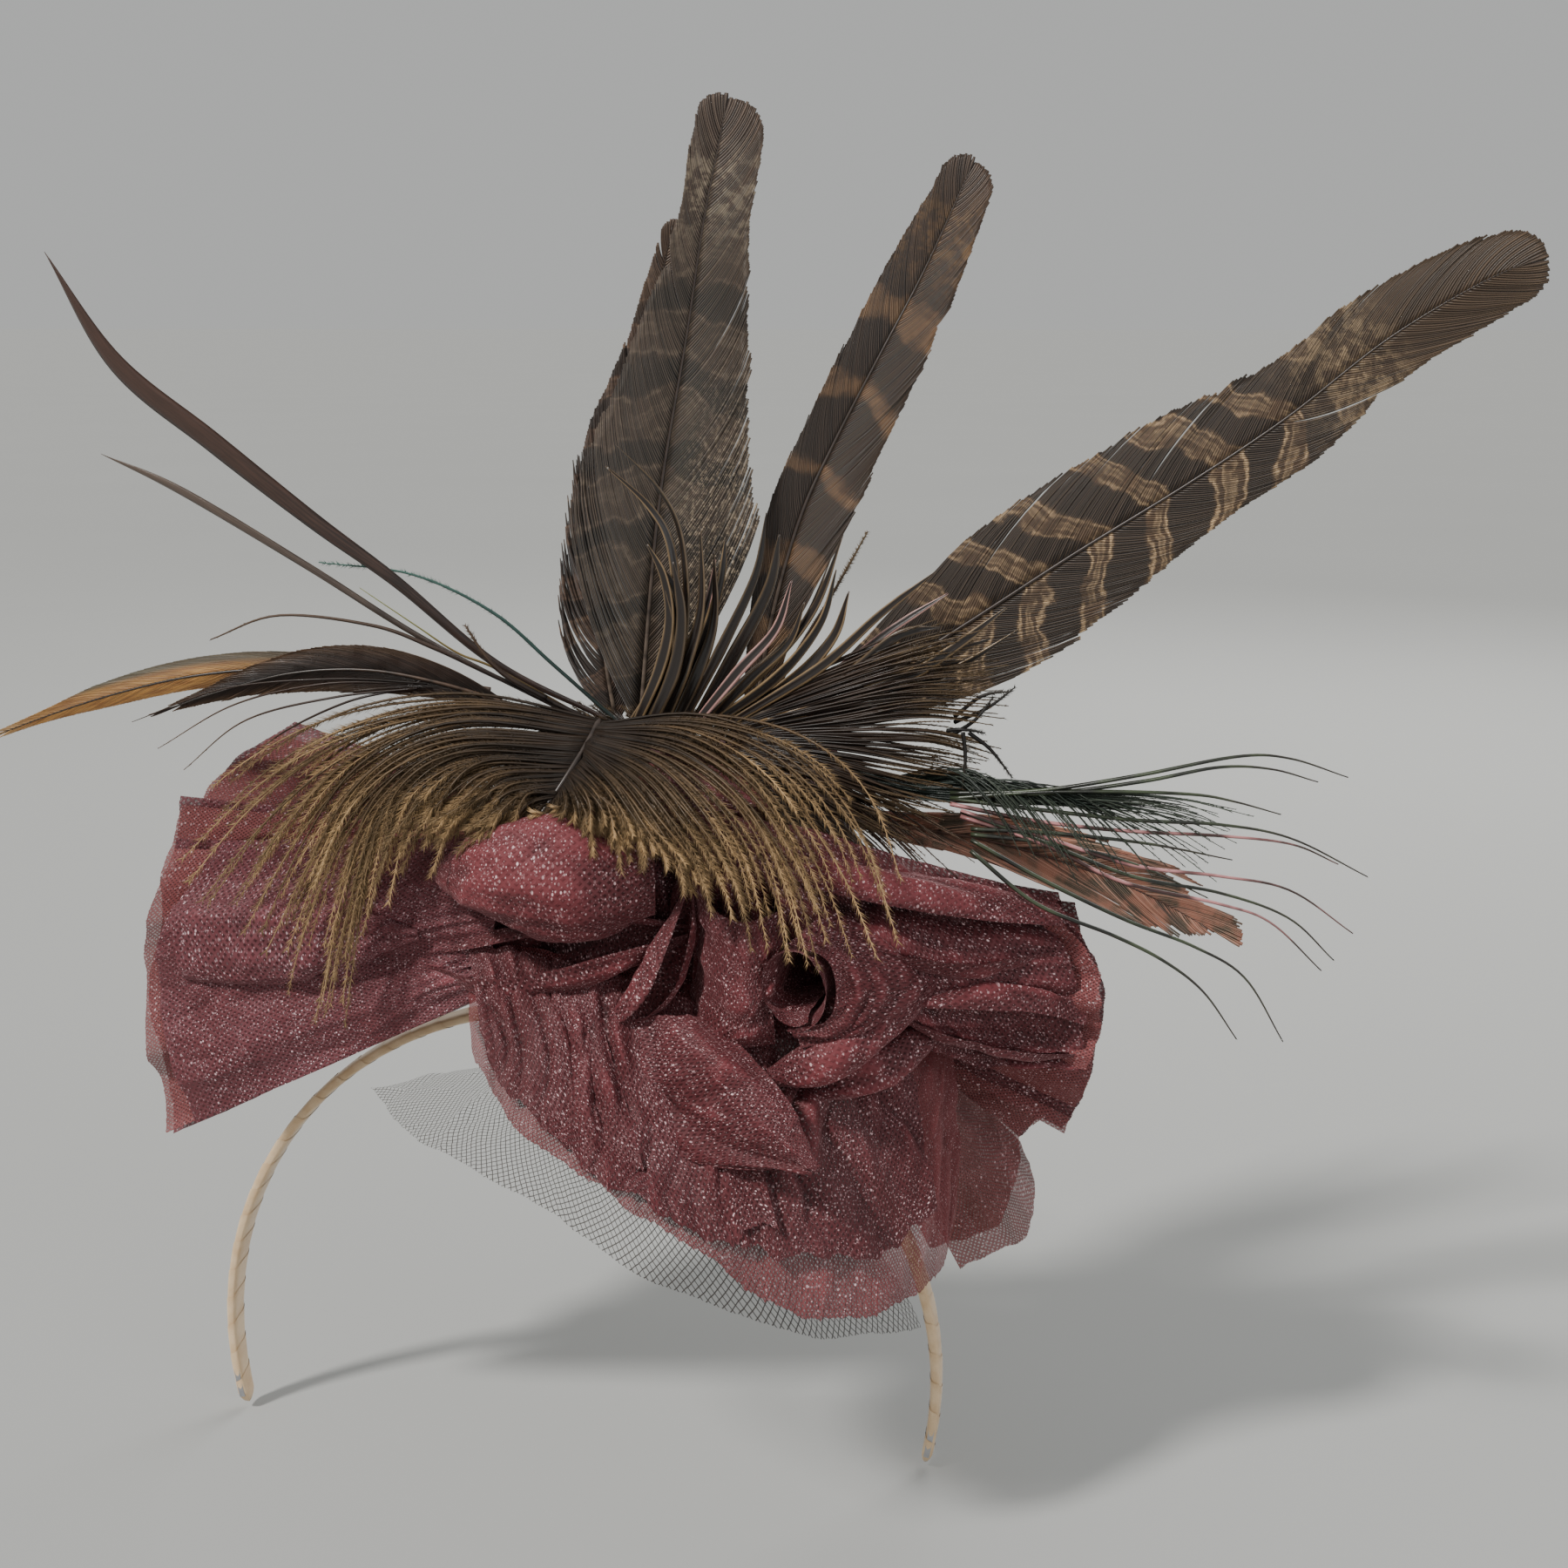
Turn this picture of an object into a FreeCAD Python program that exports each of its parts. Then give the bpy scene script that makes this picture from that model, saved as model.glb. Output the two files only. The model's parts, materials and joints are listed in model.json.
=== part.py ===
import FreeCAD, Part
import math
import os

# Fascinator headpiece: a ribbon-wrapped headband, a felt base sewn to its crown, a pouf of gathered
# tulle with fans to both sides, and a mount of pheasant, spike and ostrich-type feathers.
# Origin: centre of the headband's arch. +Z up, -Y the wearer's front, +X the wearer's left side.

V = FreeCAD.Vector
PARTS = "parts"

# Headband
HEAD_R = 75.0            # inside radius of the wrapped band
RIBBON_T = 0.7           # satin wrap over each face of the core
CORE_T = 1.2             # spring strip inside the wrap
BAND_W = 6.0             # width of the wrapped band, front to back
CORE_W = 4.8
ARM_START = 58.0         # degrees from the top, where the flexing arm begins
ARM_END = 104.0          # degrees from the top, at the tip
ARM_GAP = 0.5            # degrees left open between crown and arm
TIP_LENGTH = 2.0         # degrees of solid ribbon past the end of the core

# Felt base over the crown
BASE_R = 78.0            # inside radius of the dome
BASE_T = 2.0
BASE_DISC_R = 24.0
BASE_AIM = V(24.0, -8.0, 76.0)

# Feather pad on top of the pouf
PAD_CENTRE = V(28.0, -7.0, 132.0)
PAD_HALF = V(27.0, 9.0, 1.6)

# Head that the veil and the skirt lie over, as half-axes of an ellipsoid
VEIL_AXES = V(77.5, 95.0, 79.0)
SKIRT_AXES = V(80.0, 97.5, 84.0)

NET_T = 1.0              # closed thickness of one tulle layer
PLUME_T = 1.6            # closed thickness of a bank of barbs
SHAFT_T = 1.0            # feather thickness along the shaft
VANE_T = 0.3             # feather thickness at the vane's edge


def save(name, shapes):
    """Write one node: one solid, or a group of separate solids."""
    solids = []
    for shape in shapes:
        solids.extend(shape.Solids)
    out = solids[0] if len(solids) == 1 else Part.makeCompound(solids)
    if not out.isValid():
        print("not valid:", name)
    out.exportStep(os.path.join(PARTS, name + ".step"))


# ---- building blocks -------------------------------------------------------------------------------

def closed_solid(points, faces):
    """A solid bounded by flat triangles, given as triples of indices into points."""
    shell = []
    for a, b, c in faces:
        wire = Part.makePolygon([points[a], points[b], points[c], points[a]])
        shell.append(Part.Face(wire))
    solid = Part.Solid(Part.Shell(shell))
    if solid.Volume < 0:
        solid.reverse()
    return solid


def sheet_solid(grid, thickness):
    """Thicken a grid of points into a closed solid, half to each side of the grid."""
    rows = len(grid)
    cols = len(grid[0])
    front = []
    back = []
    for i in range(rows):
        for j in range(cols):
            along = grid[min(i + 1, rows - 1)][j] - grid[max(i - 1, 0)][j]
            across = grid[i][min(j + 1, cols - 1)] - grid[i][max(j - 1, 0)]
            normal = along.cross(across)
            normal.normalize()
            front.append(grid[i][j] + normal * (thickness / 2))
            back.append(grid[i][j] - normal * (thickness / 2))
    points = front + back
    count = rows * cols
    faces = []
    for i in range(rows - 1):
        for j in range(cols - 1):
            a = i * cols + j
            b = a + 1
            c = a + cols + 1
            d = a + cols
            faces += [(a, b, c), (a, c, d)]
            faces += [(a + count, c + count, b + count), (a + count, d + count, c + count)]
    rim = [j for j in range(cols)]
    rim += [i * cols + cols - 1 for i in range(1, rows)]
    rim += [(rows - 1) * cols + j for j in range(cols - 2, -1, -1)]
    rim += [i * cols for i in range(rows - 2, 0, -1)]
    for a, b in zip(rim, rim[1:] + rim[:1]):
        faces += [(a, a + count, b + count), (a, b + count, b)]
    return closed_solid(points, faces)


def mix(a, b, t):
    return a * (1 - t) + b * t


def through(points, t):
    """The point at t, from 0 to 1, of a smooth curve through a few points."""
    span = t * (len(points) - 1)
    i = min(int(span), len(points) - 2)
    f = span - i
    p1 = points[i]
    p2 = points[i + 1]
    p0 = points[i - 1] if i > 0 else p1 * 2 - p2
    p3 = points[i + 2] if i + 2 < len(points) else p2 * 2 - p1
    bend = (p0 * 2 - p1 * 5 + p2 * 4 - p3) * (f * f)
    twist = (p1 * 3 - p0 - p2 * 3 + p3) * (f * f * f)
    return (p1 * 2 + (p2 - p0) * f + bend + twist) * 0.5


def fan(neck, rim, pleats, neck_depth, rim_depth):
    """Pleated tulle: folds run from a short gathered neck out to a long rim, and stand in Y."""
    grid = []
    folds = pleats * 2
    for row in range(3):
        s = row / 2.0
        line = []
        for fold in range(folds + 1):
            t = fold / float(folds)
            side = 1 if fold % 2 else -1
            point = mix(through(neck, t), through(rim, t), s)
            depth = neck_depth + (rim_depth - neck_depth) * s
            line.append(point + V(0, side * depth, 0))
        grid.append(line)
    return sheet_solid(grid, NET_T)


def on_head(point, axes):
    """Push a point out along its own direction until it lies on the ellipsoid."""
    reach = math.sqrt((point.x / axes.x) ** 2 + (point.y / axes.y) ** 2 + (point.z / axes.z) ** 2)
    return point * (1.0 / reach)


def drape(neck, hem, axes, rows, cols):
    """Net laid over the head from a gathered neck down to its hem."""
    grid = []
    for row in range(rows + 1):
        s = row / float(rows)
        line = []
        for col in range(cols + 1):
            t = col / float(cols)
            line.append(on_head(mix(through(neck, t), through(hem, t), s), axes))
        grid.append(line)
    return sheet_solid(grid, NET_T)


def bank(roots, tips, rise, rows, cols):
    """A bank of soft barbs: each one leaves its root, arches by rise and droops to its tip."""
    grid = []
    for row in range(rows + 1):
        s = row / float(rows)
        line = []
        for col in range(cols + 1):
            t = col / float(cols)
            point = mix(through(roots, t), through(tips, t), s)
            line.append(point + rise * (4 * s * (1 - s)))
        grid.append(line)
    return sheet_solid(grid, PLUME_T)


def frames(line):
    """Position, side and normal at each point of a feather's shaft. Side points right, seen from -Y."""
    out = []
    for i, point in enumerate(line):
        along = line[min(i + 1, len(line) - 1)] - line[max(i - 1, 0)]
        along.normalize()
        side = along.cross(V(0, -1, 0))
        side.normalize()
        out.append((point, side, along.cross(side)))
    return out


def feather(line, left, right):
    """A whole feather: a shaft, thickest in the middle, and a thin vane to each side."""
    wires = []
    for (point, side, normal), wl, wr in zip(frames(line), left, right):
        edge = normal * (VANE_T / 2)
        ridge = normal * (SHAFT_T / 2)
        a = point - side * wl
        b = point + side * wr
        wires.append(Part.makePolygon([a - edge, point - ridge, b - edge, b + edge,
                                       point + ridge, a + edge, a - edge]))
    return Part.makeLoft(wires, True, True)


def strand(line, thick_start, thick_end):
    """One herl or strand: a tapering six-sided rod."""
    wires = []
    last = float(len(line) - 1)
    for i, (point, side, normal) in enumerate(frames(line)):
        r = (thick_start + (thick_end - thick_start) * i / last) / 2
        ring = []
        for k in range(7):
            a = math.radians(60 * k)
            ring.append(point + side * (r * math.cos(a)) + normal * (r * math.sin(a)))
        wires.append(Part.makePolygon(ring))
    return Part.makeLoft(wires, True, True)


def puff(centre, half, tilt):
    """A rounded fold of tulle: an ellipsoid turned about Y by tilt degrees."""
    ball = Part.makeSphere(1.0)
    scale = FreeCAD.Matrix()
    scale.scale(half.x, half.y, half.z)
    ball = ball.transformGeometry(scale)
    ball.rotate(V(0, 0, 0), V(0, 1, 0), tilt)
    ball.translate(centre)
    return ball


# ---- headband --------------------------------------------------------------------------------------

def arc_bar(r0, r1, width, start, end):
    """A bar bent round the Y axis. Angles are in degrees from +Z towards +X."""
    box = Part.makePolygon([V(0, -width / 2, r0), V(0, width / 2, r0), V(0, width / 2, r1),
                            V(0, -width / 2, r1), V(0, -width / 2, r0)])
    face = Part.Face(box)
    face.rotate(V(0, 0, 0), V(0, 1, 0), start)
    return face.revolve(V(0, 0, 0), V(0, 1, 0), end - start)


WRAP_OUT = HEAD_R + 2 * RIBBON_T + CORE_T


def core_piece(start, end):
    return arc_bar(HEAD_R + RIBBON_T, HEAD_R + RIBBON_T + CORE_T, CORE_W, start, end)


def wrap_piece(start, end, core):
    return arc_bar(HEAD_R, WRAP_OUT, BAND_W, start, end).cut(core)


def headband():
    crown_core = core_piece(-ARM_START, ARM_START)
    save("headband_core_crown", [crown_core])
    save("ribbon_wrap_crown", [wrap_piece(-ARM_START, ARM_START, crown_core)])
    first = ARM_START + ARM_GAP
    for side, sign in (("right", 1), ("left", -1)):
        start, core_end, end = [sign * a for a in (first, ARM_END - TIP_LENGTH, ARM_END)]
        lo, hi = min(start, core_end), max(start, core_end)
        core = core_piece(lo, hi)
        save("headband_core_" + side, [core])
        lo, hi = min(start, end), max(start, end)
        save("ribbon_wrap_" + side, [wrap_piece(lo, hi, core)])


def base():
    """Domed felt disc, sewn along both edges of the wrapped band."""
    dome = Part.makeSphere(BASE_R + BASE_T).cut(Part.makeSphere(BASE_R))
    punch = Part.makeCylinder(BASE_DISC_R, 2 * BASE_R, V(0, 0, 0), BASE_AIM)
    save("felt_base", [dome.common(punch)])
    stitches = []
    for edge in (-1, 1):
        for step in range(5):
            angle = 5 + 6.5 * step
            y = edge * (BAND_W / 2 + 0.3)
            leg = Part.makeBox(0.6, 0.5, 2.2, V(-0.3, y - 0.25, BASE_R - 2.45))
            leg.rotate(V(0, 0, 0), V(0, 1, 0), angle)
            stitches.append(leg)
    save("base_stitches", stitches)


# ---- tulle -----------------------------------------------------------------------------------------

def tulle_fans():
    neck_left = [V(1, 0, 96), V(-1, 0, 103), V(1, 0, 112)]
    neck_right = [V(54, 0, 90), V(56, 0, 98), V(54, 0, 108)]
    layers = [
        ("tulle_fan_left_front", neck_left, -24,
         [V(-77, 0, 52), V(-79, 0, 72), V(-79, 0, 92), V(-72, 0, 114)]),
        ("tulle_fan_left_middle", neck_left, -12,
         [V(-72, 0, 60), V(-80, 0, 80), V(-80, 0, 100), V(-76, 0, 120)]),
        ("tulle_fan_left_back", neck_left, 0,
         [V(-72, 0, 82), V(-78, 0, 100), V(-77, 0, 118), V(-58, 0, 133)]),
        ("tulle_fan_right_front", neck_right, -22,
         [V(106, 0, 76), V(108, 0, 86), V(107, 0, 97), V(98, 0, 110)]),
        ("tulle_fan_right_middle", neck_right, -11,
         [V(101, 0, 60), V(106, 0, 72), V(106, 0, 90), V(102, 0, 106)]),
        ("tulle_fan_right_back", neck_right, 0,
         [V(92, 0, 54), V(102, 0, 66), V(104, 0, 84), V(98, 0, 104)]),
    ]
    for name, neck, y, rim in layers:
        shift = V(0, y, 0)
        save(name, [fan([p + shift for p in neck], [p + shift for p in rim], 7, 1.2, 3.4)])
    lobe_neck = [V(54, 9, 70), V(60, 9, 73), V(66, 9, 74)]
    lobe_rim = [V(80, 9, 22), V(92, 9, 28), V(95, 9, 38), V(92, 9, 50)]
    save("tulle_lobe_right", [fan(lobe_neck, lobe_rim, 5, 0.8, 2.4)])


def tulle_drapes():
    skirt_neck = [V(8, -38, 82), V(26, -42, 80), V(50, -34, 74)]
    skirt_hem = [V(0, -44, 72), V(8, -52, 62), V(27, -60, 51), V(50, -52, 44), V(69, -30, 28)]
    save("tulle_skirt_front", [drape(skirt_neck, skirt_hem, SKIRT_AXES, 3, 8)])
    veil_neck = [V(-6, -33, 74), V(20, -38, 72), V(48, -30, 64)]
    veil_hem = [V(-29, -34, 68), V(-14, -48, 62), V(8, -58, 58), V(32, -62, 45), V(58, -48, 32),
                V(72, -16, 19)]
    save("veil_net", [drape(veil_neck, veil_hem, VEIL_AXES, 4, 10)])


def tulle_centre():
    """The gathered pouf: a core that stands on the base, and the folds on its front."""
    core = puff(V(27, -11, 100), V(24, 11, 30), 0).cut(Part.makeSphere(BASE_R + BASE_T + 0.3))
    save("tulle_core", [core])
    folds = [
        ("tulle_roll_left", V(8, -39, 114), V(20, 9, 9), 6),
        ("tulle_twist_band", V(15, -38, 98.5), V(17, 7, 4.5), -4),
        ("tulle_shell_fold", V(45, -41, 104), V(12.5, 10, 18), -6),
        ("tulle_curl_tube", V(69, -38, 100), V(10.5, 9, 11), 0),
        ("tulle_twist_right", V(66, -38, 83.5), V(14, 6, 4), -14),
        ("tulle_fold_back", V(41, -25.5, 104), V(11, 4, 20), 0),
    ]
    for name, centre, half, tilt in folds:
        save(name, [puff(centre, half, tilt)])
    ear_root = [V(30, -47, 90), V(37, -50, 88), V(44, -50, 84)]
    ear_tip = [V(56, -58, 70), V(58, -59, 69), V(60, -59, 70)]
    save("tulle_dog_ear", [bank(ear_root, ear_tip, V(0, -2, 0), 2, 2)])


# ---- feathers --------------------------------------------------------------------------------------

def tail_feathers():
    """Barred tail feathers. Each line runs from the quill's foot to the tip."""
    front = [V(18, -8, 138), V(20, -6, 166), V(22, -4, 185), V(26, -1, 210), V(29, 1, 231),
             V(32, 3, 247), V(33, 4, 254)]
    save("tall_feather_front", [feather(front, (5, 15, 14, 9, 5, 5, 2), (3, 20, 18, 13, 10, 8, 4))])
    rear = [V(11, -3, 139), V(9, -1, 152), V(10, 2, 170), V(12, 5, 190), V(16, 8, 206),
            V(19, 10, 222), V(21, 11, 231)]
    save("tall_feather_rear", [feather(rear, (2, 8, 9, 8, 5, 3, 1), (2, 8, 10, 9, 7, 5, 2))])
    middle = [V(39, 0, 138), V(42, 1, 157), V(47, 4, 176), V(53, 7, 190), V(61, 10, 206),
              V(69, 14, 222), V(76, 17, 238), V(78, 18, 243)]
    save("middle_feather", [feather(middle, (1, 3, 6, 6, 6.5, 6.5, 4, 1), (1, 4, 9, 9, 8.5, 7, 4, 1))])
    right = [V(51, -6, 138.5), V(66, -6, 148), V(81, -6, 158), V(100, -6, 171), V(120, -6, 184),
             V(137, -6, 196), V(154, -6, 210), V(170, -6, 220), V(180, -6, 223)]
    save("right_feather", [feather(right, (1, 7, 13, 14, 13, 11, 9, 7, 3),
                                   (1, 6, 13, 13, 9, 9, 7, 7, 3))])


def left_spray():
    long_spike = [V(8, -13, 141), V(-10, -13, 149), V(-29, -13, 164), V(-45, -13, 175),
                  V(-65, -13, 190), V(-84, -13, 205), V(-97, -13, 226)]
    save("long_spike", [feather(long_spike, (0.6, 0.9, 1.2, 1.4, 1.8, 1.6, 0.3),
                                (0.6, 1.1, 1.6, 2.2, 2.8, 2.4, 0.3))])
    short_spike = [V(0, -17, 143), V(-23, -17, 154), V(-45, -17, 167), V(-70, -17, 181),
                   V(-86, -17, 188)]
    save("short_spike", [feather(short_spike, (0.5, 0.7, 0.9, 0.9, 0.3), (0.5, 0.8, 1.1, 1.1, 0.3))])
    green = [V(1, -9, 148), V(-11, -9, 158), V(-27, -9, 165), V(-46, -9, 167)]
    save("green_herl", [strand(green, 1.6, 0.8)])
    brown = [V(-19, -20.5, 152.5), V(-31, -20.5, 156.5), V(-50, -20.5, 158), V(-64, -20.5, 153)]
    save("brown_herl", [strand(brown, 1.4, 0.7)])


def left_feathers():
    golden = [V(-14, -23, 146), V(-31, -23, 148), V(-51, -23, 148), V(-68, -23, 146),
              V(-84, -23, 142), V(-99, -23, 137), V(-115, -23, 131)]
    save("golden_feather", [feather(golden, (0.8, 1.5, 2, 2, 2, 1.2, 0.3), (0.8, 2, 2.5, 3, 4, 2, 0.3))])
    dark = [V(-4, -27, 143), V(-16, -27, 147), V(-30, -27, 149), V(-45, -27, 148), V(-60, -27, 143)]
    save("dark_feather_left", [feather(dark, (0.8, 2, 3, 3, 0.4), (0.8, 3, 4.5, 3, 0.4))])


def plumage():
    """The soft almond plume: a curved shaft with a bank of drooping barbs to each side."""
    shaft = [V(16, -29, 139), V(15, -33, 136.5), V(12, -37, 132), V(9, -40, 127)]
    save("plume_shaft", [strand(shaft, 1.8, 1.0)])
    left_roots = [V(12, -30, 139), V(8, -36, 133), V(5, -40, 128)]
    left_tips = [V(-50, -33, 132), V(-66, -38, 114), V(-52, -42, 98), V(-30, -46, 100),
                 V(-6, -52, 112)]
    save("plume_left", [bank(left_roots, left_tips, V(0, -6, 5), 4, 8)])
    right_roots = [V(19, -32, 140), V(16, -38, 133), V(12, -44, 128)]
    right_tips = [V(71, -38, 126), V(71, -55, 108), V(52, -60, 104), V(36, -60, 110),
                  V(16, -56, 116)]
    save("plume_right", [bank(right_roots, right_tips, V(3, -8, 7), 4, 8)])


def herls():
    curled = [
        [V(20, -22, 140), V(27, -22, 152), V(29, -22, 165), V(24, -22, 174)],
        [V(24, -22, 140), V(31, -22, 156), V(29, -22, 174), V(18, -22, 190)],
        [V(28, -22, 140), V(36, -22, 152), V(38, -22, 166), V(34, -22, 177)],
        [V(32, -22, 140), V(42, -22, 152), V(47, -22, 166), V(46, -22, 178)],
        [V(37, -22, 140), V(48, -22, 150), V(57, -22, 162), V(60, -22, 174)],
    ]
    save("curled_herls", [strand(line, 1.4, 0.8) for line in curled])
    save("fuzzy_stick", [strand([V(50, -17, 153), V(56, -17, 163), V(63, -17, 175)], 1.2, 1.2)])
    swept = [
        [V(40, -19, 139), V(56, -21, 145), V(74, -23, 151), V(88, -25, 154)],
        [V(41, -23, 137), V(58, -25, 142), V(76, -27, 146), V(92, -29, 147)],
        [V(42, -27, 135), V(60, -29, 138), V(78, -31, 140), V(90, -32, 138)],
    ]
    save("swept_herls", [strand(line, 3.0, 1.4) for line in swept])


def right_spray():
    """The dark cluster, the long arching strands and the copper feather share one binding."""
    sheaf = [V(66, -22, 128), V(82, -24, 128), V(100, -26, 124), V(116, -27, 120), V(129, -28, 120)]
    save("dark_cluster", [feather(sheaf, (2, 5, 6, 5, 1), (2, 5, 7, 5, 1))])
    arching = [
        [V(78, -31, 133), V(98, -32, 137), V(124, -33, 138), V(149, -33, 135)],
        [V(80, -31, 129), V(102, -32, 131), V(130, -34, 128), V(153, -34, 118)],
        [V(81, -31, 124), V(100, -33, 121), V(122, -36, 108), V(140, -36, 89)],
        [V(82, -35, 120), V(98, -37, 116), V(116, -39, 104), V(132, -39, 87)],
    ]
    save("arching_strands", [strand(line, 1.2, 0.8) for line in arching])
    copper = [V(70, -17, 122), V(86, -18, 121), V(106, -19, 115), V(118, -19, 110), V(129, -19, 105)]
    save("copper_feather", [feather(copper, (0.8, 2, 4, 4, 1), (0.8, 2, 4, 4, 1))])


def feather_pad():
    pad = puff(PAD_CENTRE, PAD_HALF, 0)
    save("feather_pad", [pad])


def main():
    os.makedirs("parts", exist_ok=True)
    headband()
    base()
    tulle_fans()
    tulle_drapes()
    tulle_centre()
    feather_pad()
    tail_feathers()
    left_spray()
    left_feathers()
    plumage()
    herls()
    right_spray()


main()
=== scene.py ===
import json
import math
import bpy
import numpy as np
from mathutils import Euler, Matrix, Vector

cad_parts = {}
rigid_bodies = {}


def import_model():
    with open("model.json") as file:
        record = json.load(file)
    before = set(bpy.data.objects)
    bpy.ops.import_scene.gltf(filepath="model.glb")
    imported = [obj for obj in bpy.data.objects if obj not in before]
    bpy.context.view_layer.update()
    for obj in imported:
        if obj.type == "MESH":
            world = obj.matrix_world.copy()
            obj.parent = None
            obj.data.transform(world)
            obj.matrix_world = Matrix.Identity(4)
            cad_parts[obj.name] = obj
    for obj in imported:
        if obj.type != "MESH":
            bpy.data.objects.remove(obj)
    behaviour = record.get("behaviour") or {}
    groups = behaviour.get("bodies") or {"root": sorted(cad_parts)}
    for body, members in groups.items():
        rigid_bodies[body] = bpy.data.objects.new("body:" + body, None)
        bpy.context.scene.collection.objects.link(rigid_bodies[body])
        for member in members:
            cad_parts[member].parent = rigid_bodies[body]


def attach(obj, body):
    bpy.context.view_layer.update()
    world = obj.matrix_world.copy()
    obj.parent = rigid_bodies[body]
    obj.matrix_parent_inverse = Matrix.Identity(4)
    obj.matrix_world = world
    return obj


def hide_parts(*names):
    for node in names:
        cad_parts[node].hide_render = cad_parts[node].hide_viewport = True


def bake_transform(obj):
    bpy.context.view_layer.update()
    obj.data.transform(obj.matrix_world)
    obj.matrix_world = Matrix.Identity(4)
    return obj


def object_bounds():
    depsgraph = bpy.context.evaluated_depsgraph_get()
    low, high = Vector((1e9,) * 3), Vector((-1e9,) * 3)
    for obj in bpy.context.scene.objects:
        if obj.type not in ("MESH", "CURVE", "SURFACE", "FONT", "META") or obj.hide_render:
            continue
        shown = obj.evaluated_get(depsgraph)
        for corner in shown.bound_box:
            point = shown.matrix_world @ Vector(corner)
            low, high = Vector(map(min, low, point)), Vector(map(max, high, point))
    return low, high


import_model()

MM = 0.001                       # every length in this file is in mm, and becomes metres with this
TEXTURE_SCALE = 0.01             # texture coordinates are kept in units of 100 mm
BAND_RADIUS = 76.3               # middle of the band's strip
BAND_END = 103.6                 # degrees from the crown to the band's tip
BAND_GIRTH = 17.0                # once round the band
BASE_AIM = (24.0, -8.0, 76.0)    # the felt base faces this way from the middle of the head
BASE_TOP, BASE_UNDER = 80.0, 78.1
ABOVE_BASE = 80.6                # tulle stays outside this radius
FORWARD = np.array([0.0, -1.0, 0.0])
cad_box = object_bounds()
rng = np.random.default_rng(11)


# ---- numbers and curves ----------------------------------------------------------------------------

def curve(points, count):
    """count points along a smooth curve through a few points. Works for points and for plain numbers."""
    p = np.array(points, float)
    if p.ndim == 1:
        p = p[:, None]
    ext = np.vstack([2 * p[0] - p[1], p, 2 * p[-1] - p[-2]])
    t = np.linspace(0, len(p) - 1, count)
    i = np.minimum(t.astype(int), len(p) - 2)
    f = (t - i)[:, None]
    a, b, c, d = ext[i], ext[i + 1], ext[i + 2], ext[i + 3]
    out = 0.5 * (2 * b + (c - a) * f + (2 * a - 5 * b + 4 * c - d) * f**2 + (3 * b - a - 3 * c + d) * f**3)
    return out[:, 0] if out.shape[1] == 1 else out


def points(text):
    """A line of points written as "x y z, x y z", in mm. With slashes between them, a list of such lines."""
    lines = [[tuple(map(float, p.split())) for p in line.split(",")] for line in text.split("/")]
    return lines if len(lines) > 1 else lines[0]


def unit(v):
    return v / np.maximum(np.linalg.norm(v, axis=-1, keepdims=True), 1e-9)


def wobble(x, seed, rate=1.0):
    """A smooth random wave of about -1 to 1."""
    r = np.random.default_rng(seed)
    out = np.zeros_like(np.asarray(x, float))
    for k in range(4):
        out += np.sin(x * rate * (1.0 + 0.9 * k) * r.uniform(0.7, 1.3) + r.uniform(0, 6.28)) / (1 + 0.7 * k)
    return out / 1.9


# ---- meshes ----------------------------------------------------------------------------------------

class Builder:
    """Collects vertices, faces, texture coordinates and a tone, and makes one mesh of them."""

    def __init__(self):
        self.verts, self.faces, self.uvs, self.tones, self.mats = [], [], [], [], []
        self.count = 0

    def add(self, verts, faces, uv, tone, material=0):
        verts = np.asarray(verts, float).reshape(-1, 3)
        self.verts.append(verts)
        self.uvs.append(np.asarray(uv, float).reshape(-1, 2))
        self.tones.append(np.asarray(tone, float).reshape(-1, 3))
        faces = np.asarray(faces, int)
        self.faces.append(faces + self.count)
        self.mats.append(np.full(len(faces), material))
        self.count += len(verts)

    def make(self, name, materials):
        verts = np.vstack(self.verts) * MM
        faces = [f for block in self.faces for f in block.tolist()]
        mesh = bpy.data.meshes.new(name)
        mesh.from_pydata(verts.tolist(), [], faces)
        for material in materials:
            mesh.materials.append(material)
        mesh.polygons.foreach_set("material_index", np.concatenate(self.mats))
        mesh.polygons.foreach_set("use_smooth", np.full(len(faces), True))
        loops = np.empty(len(mesh.loops), int)
        mesh.loops.foreach_get("vertex_index", loops)
        layer = mesh.uv_layers.new(name="UVMap")
        layer.data.foreach_set("uv", (np.vstack(self.uvs)[loops] * TEXTURE_SCALE).ravel())
        tone = mesh.attributes.new("tone", "FLOAT_COLOR", "POINT")
        rgba = np.hstack([np.vstack(self.tones), np.ones((self.count, 1))])
        tone.data.foreach_set("color", rgba.ravel())
        mesh.update()
        obj = bpy.data.objects.new(name, mesh)
        bpy.context.scene.collection.objects.link(obj)
        return obj


def side_frames(paths, facing):
    """Tangent, side and normal along each path. facing is a rough normal."""
    tangent = unit(np.gradient(paths, axis=-2))
    side = unit(np.cross(tangent, facing))
    return tangent, side, np.cross(side, tangent)


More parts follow.
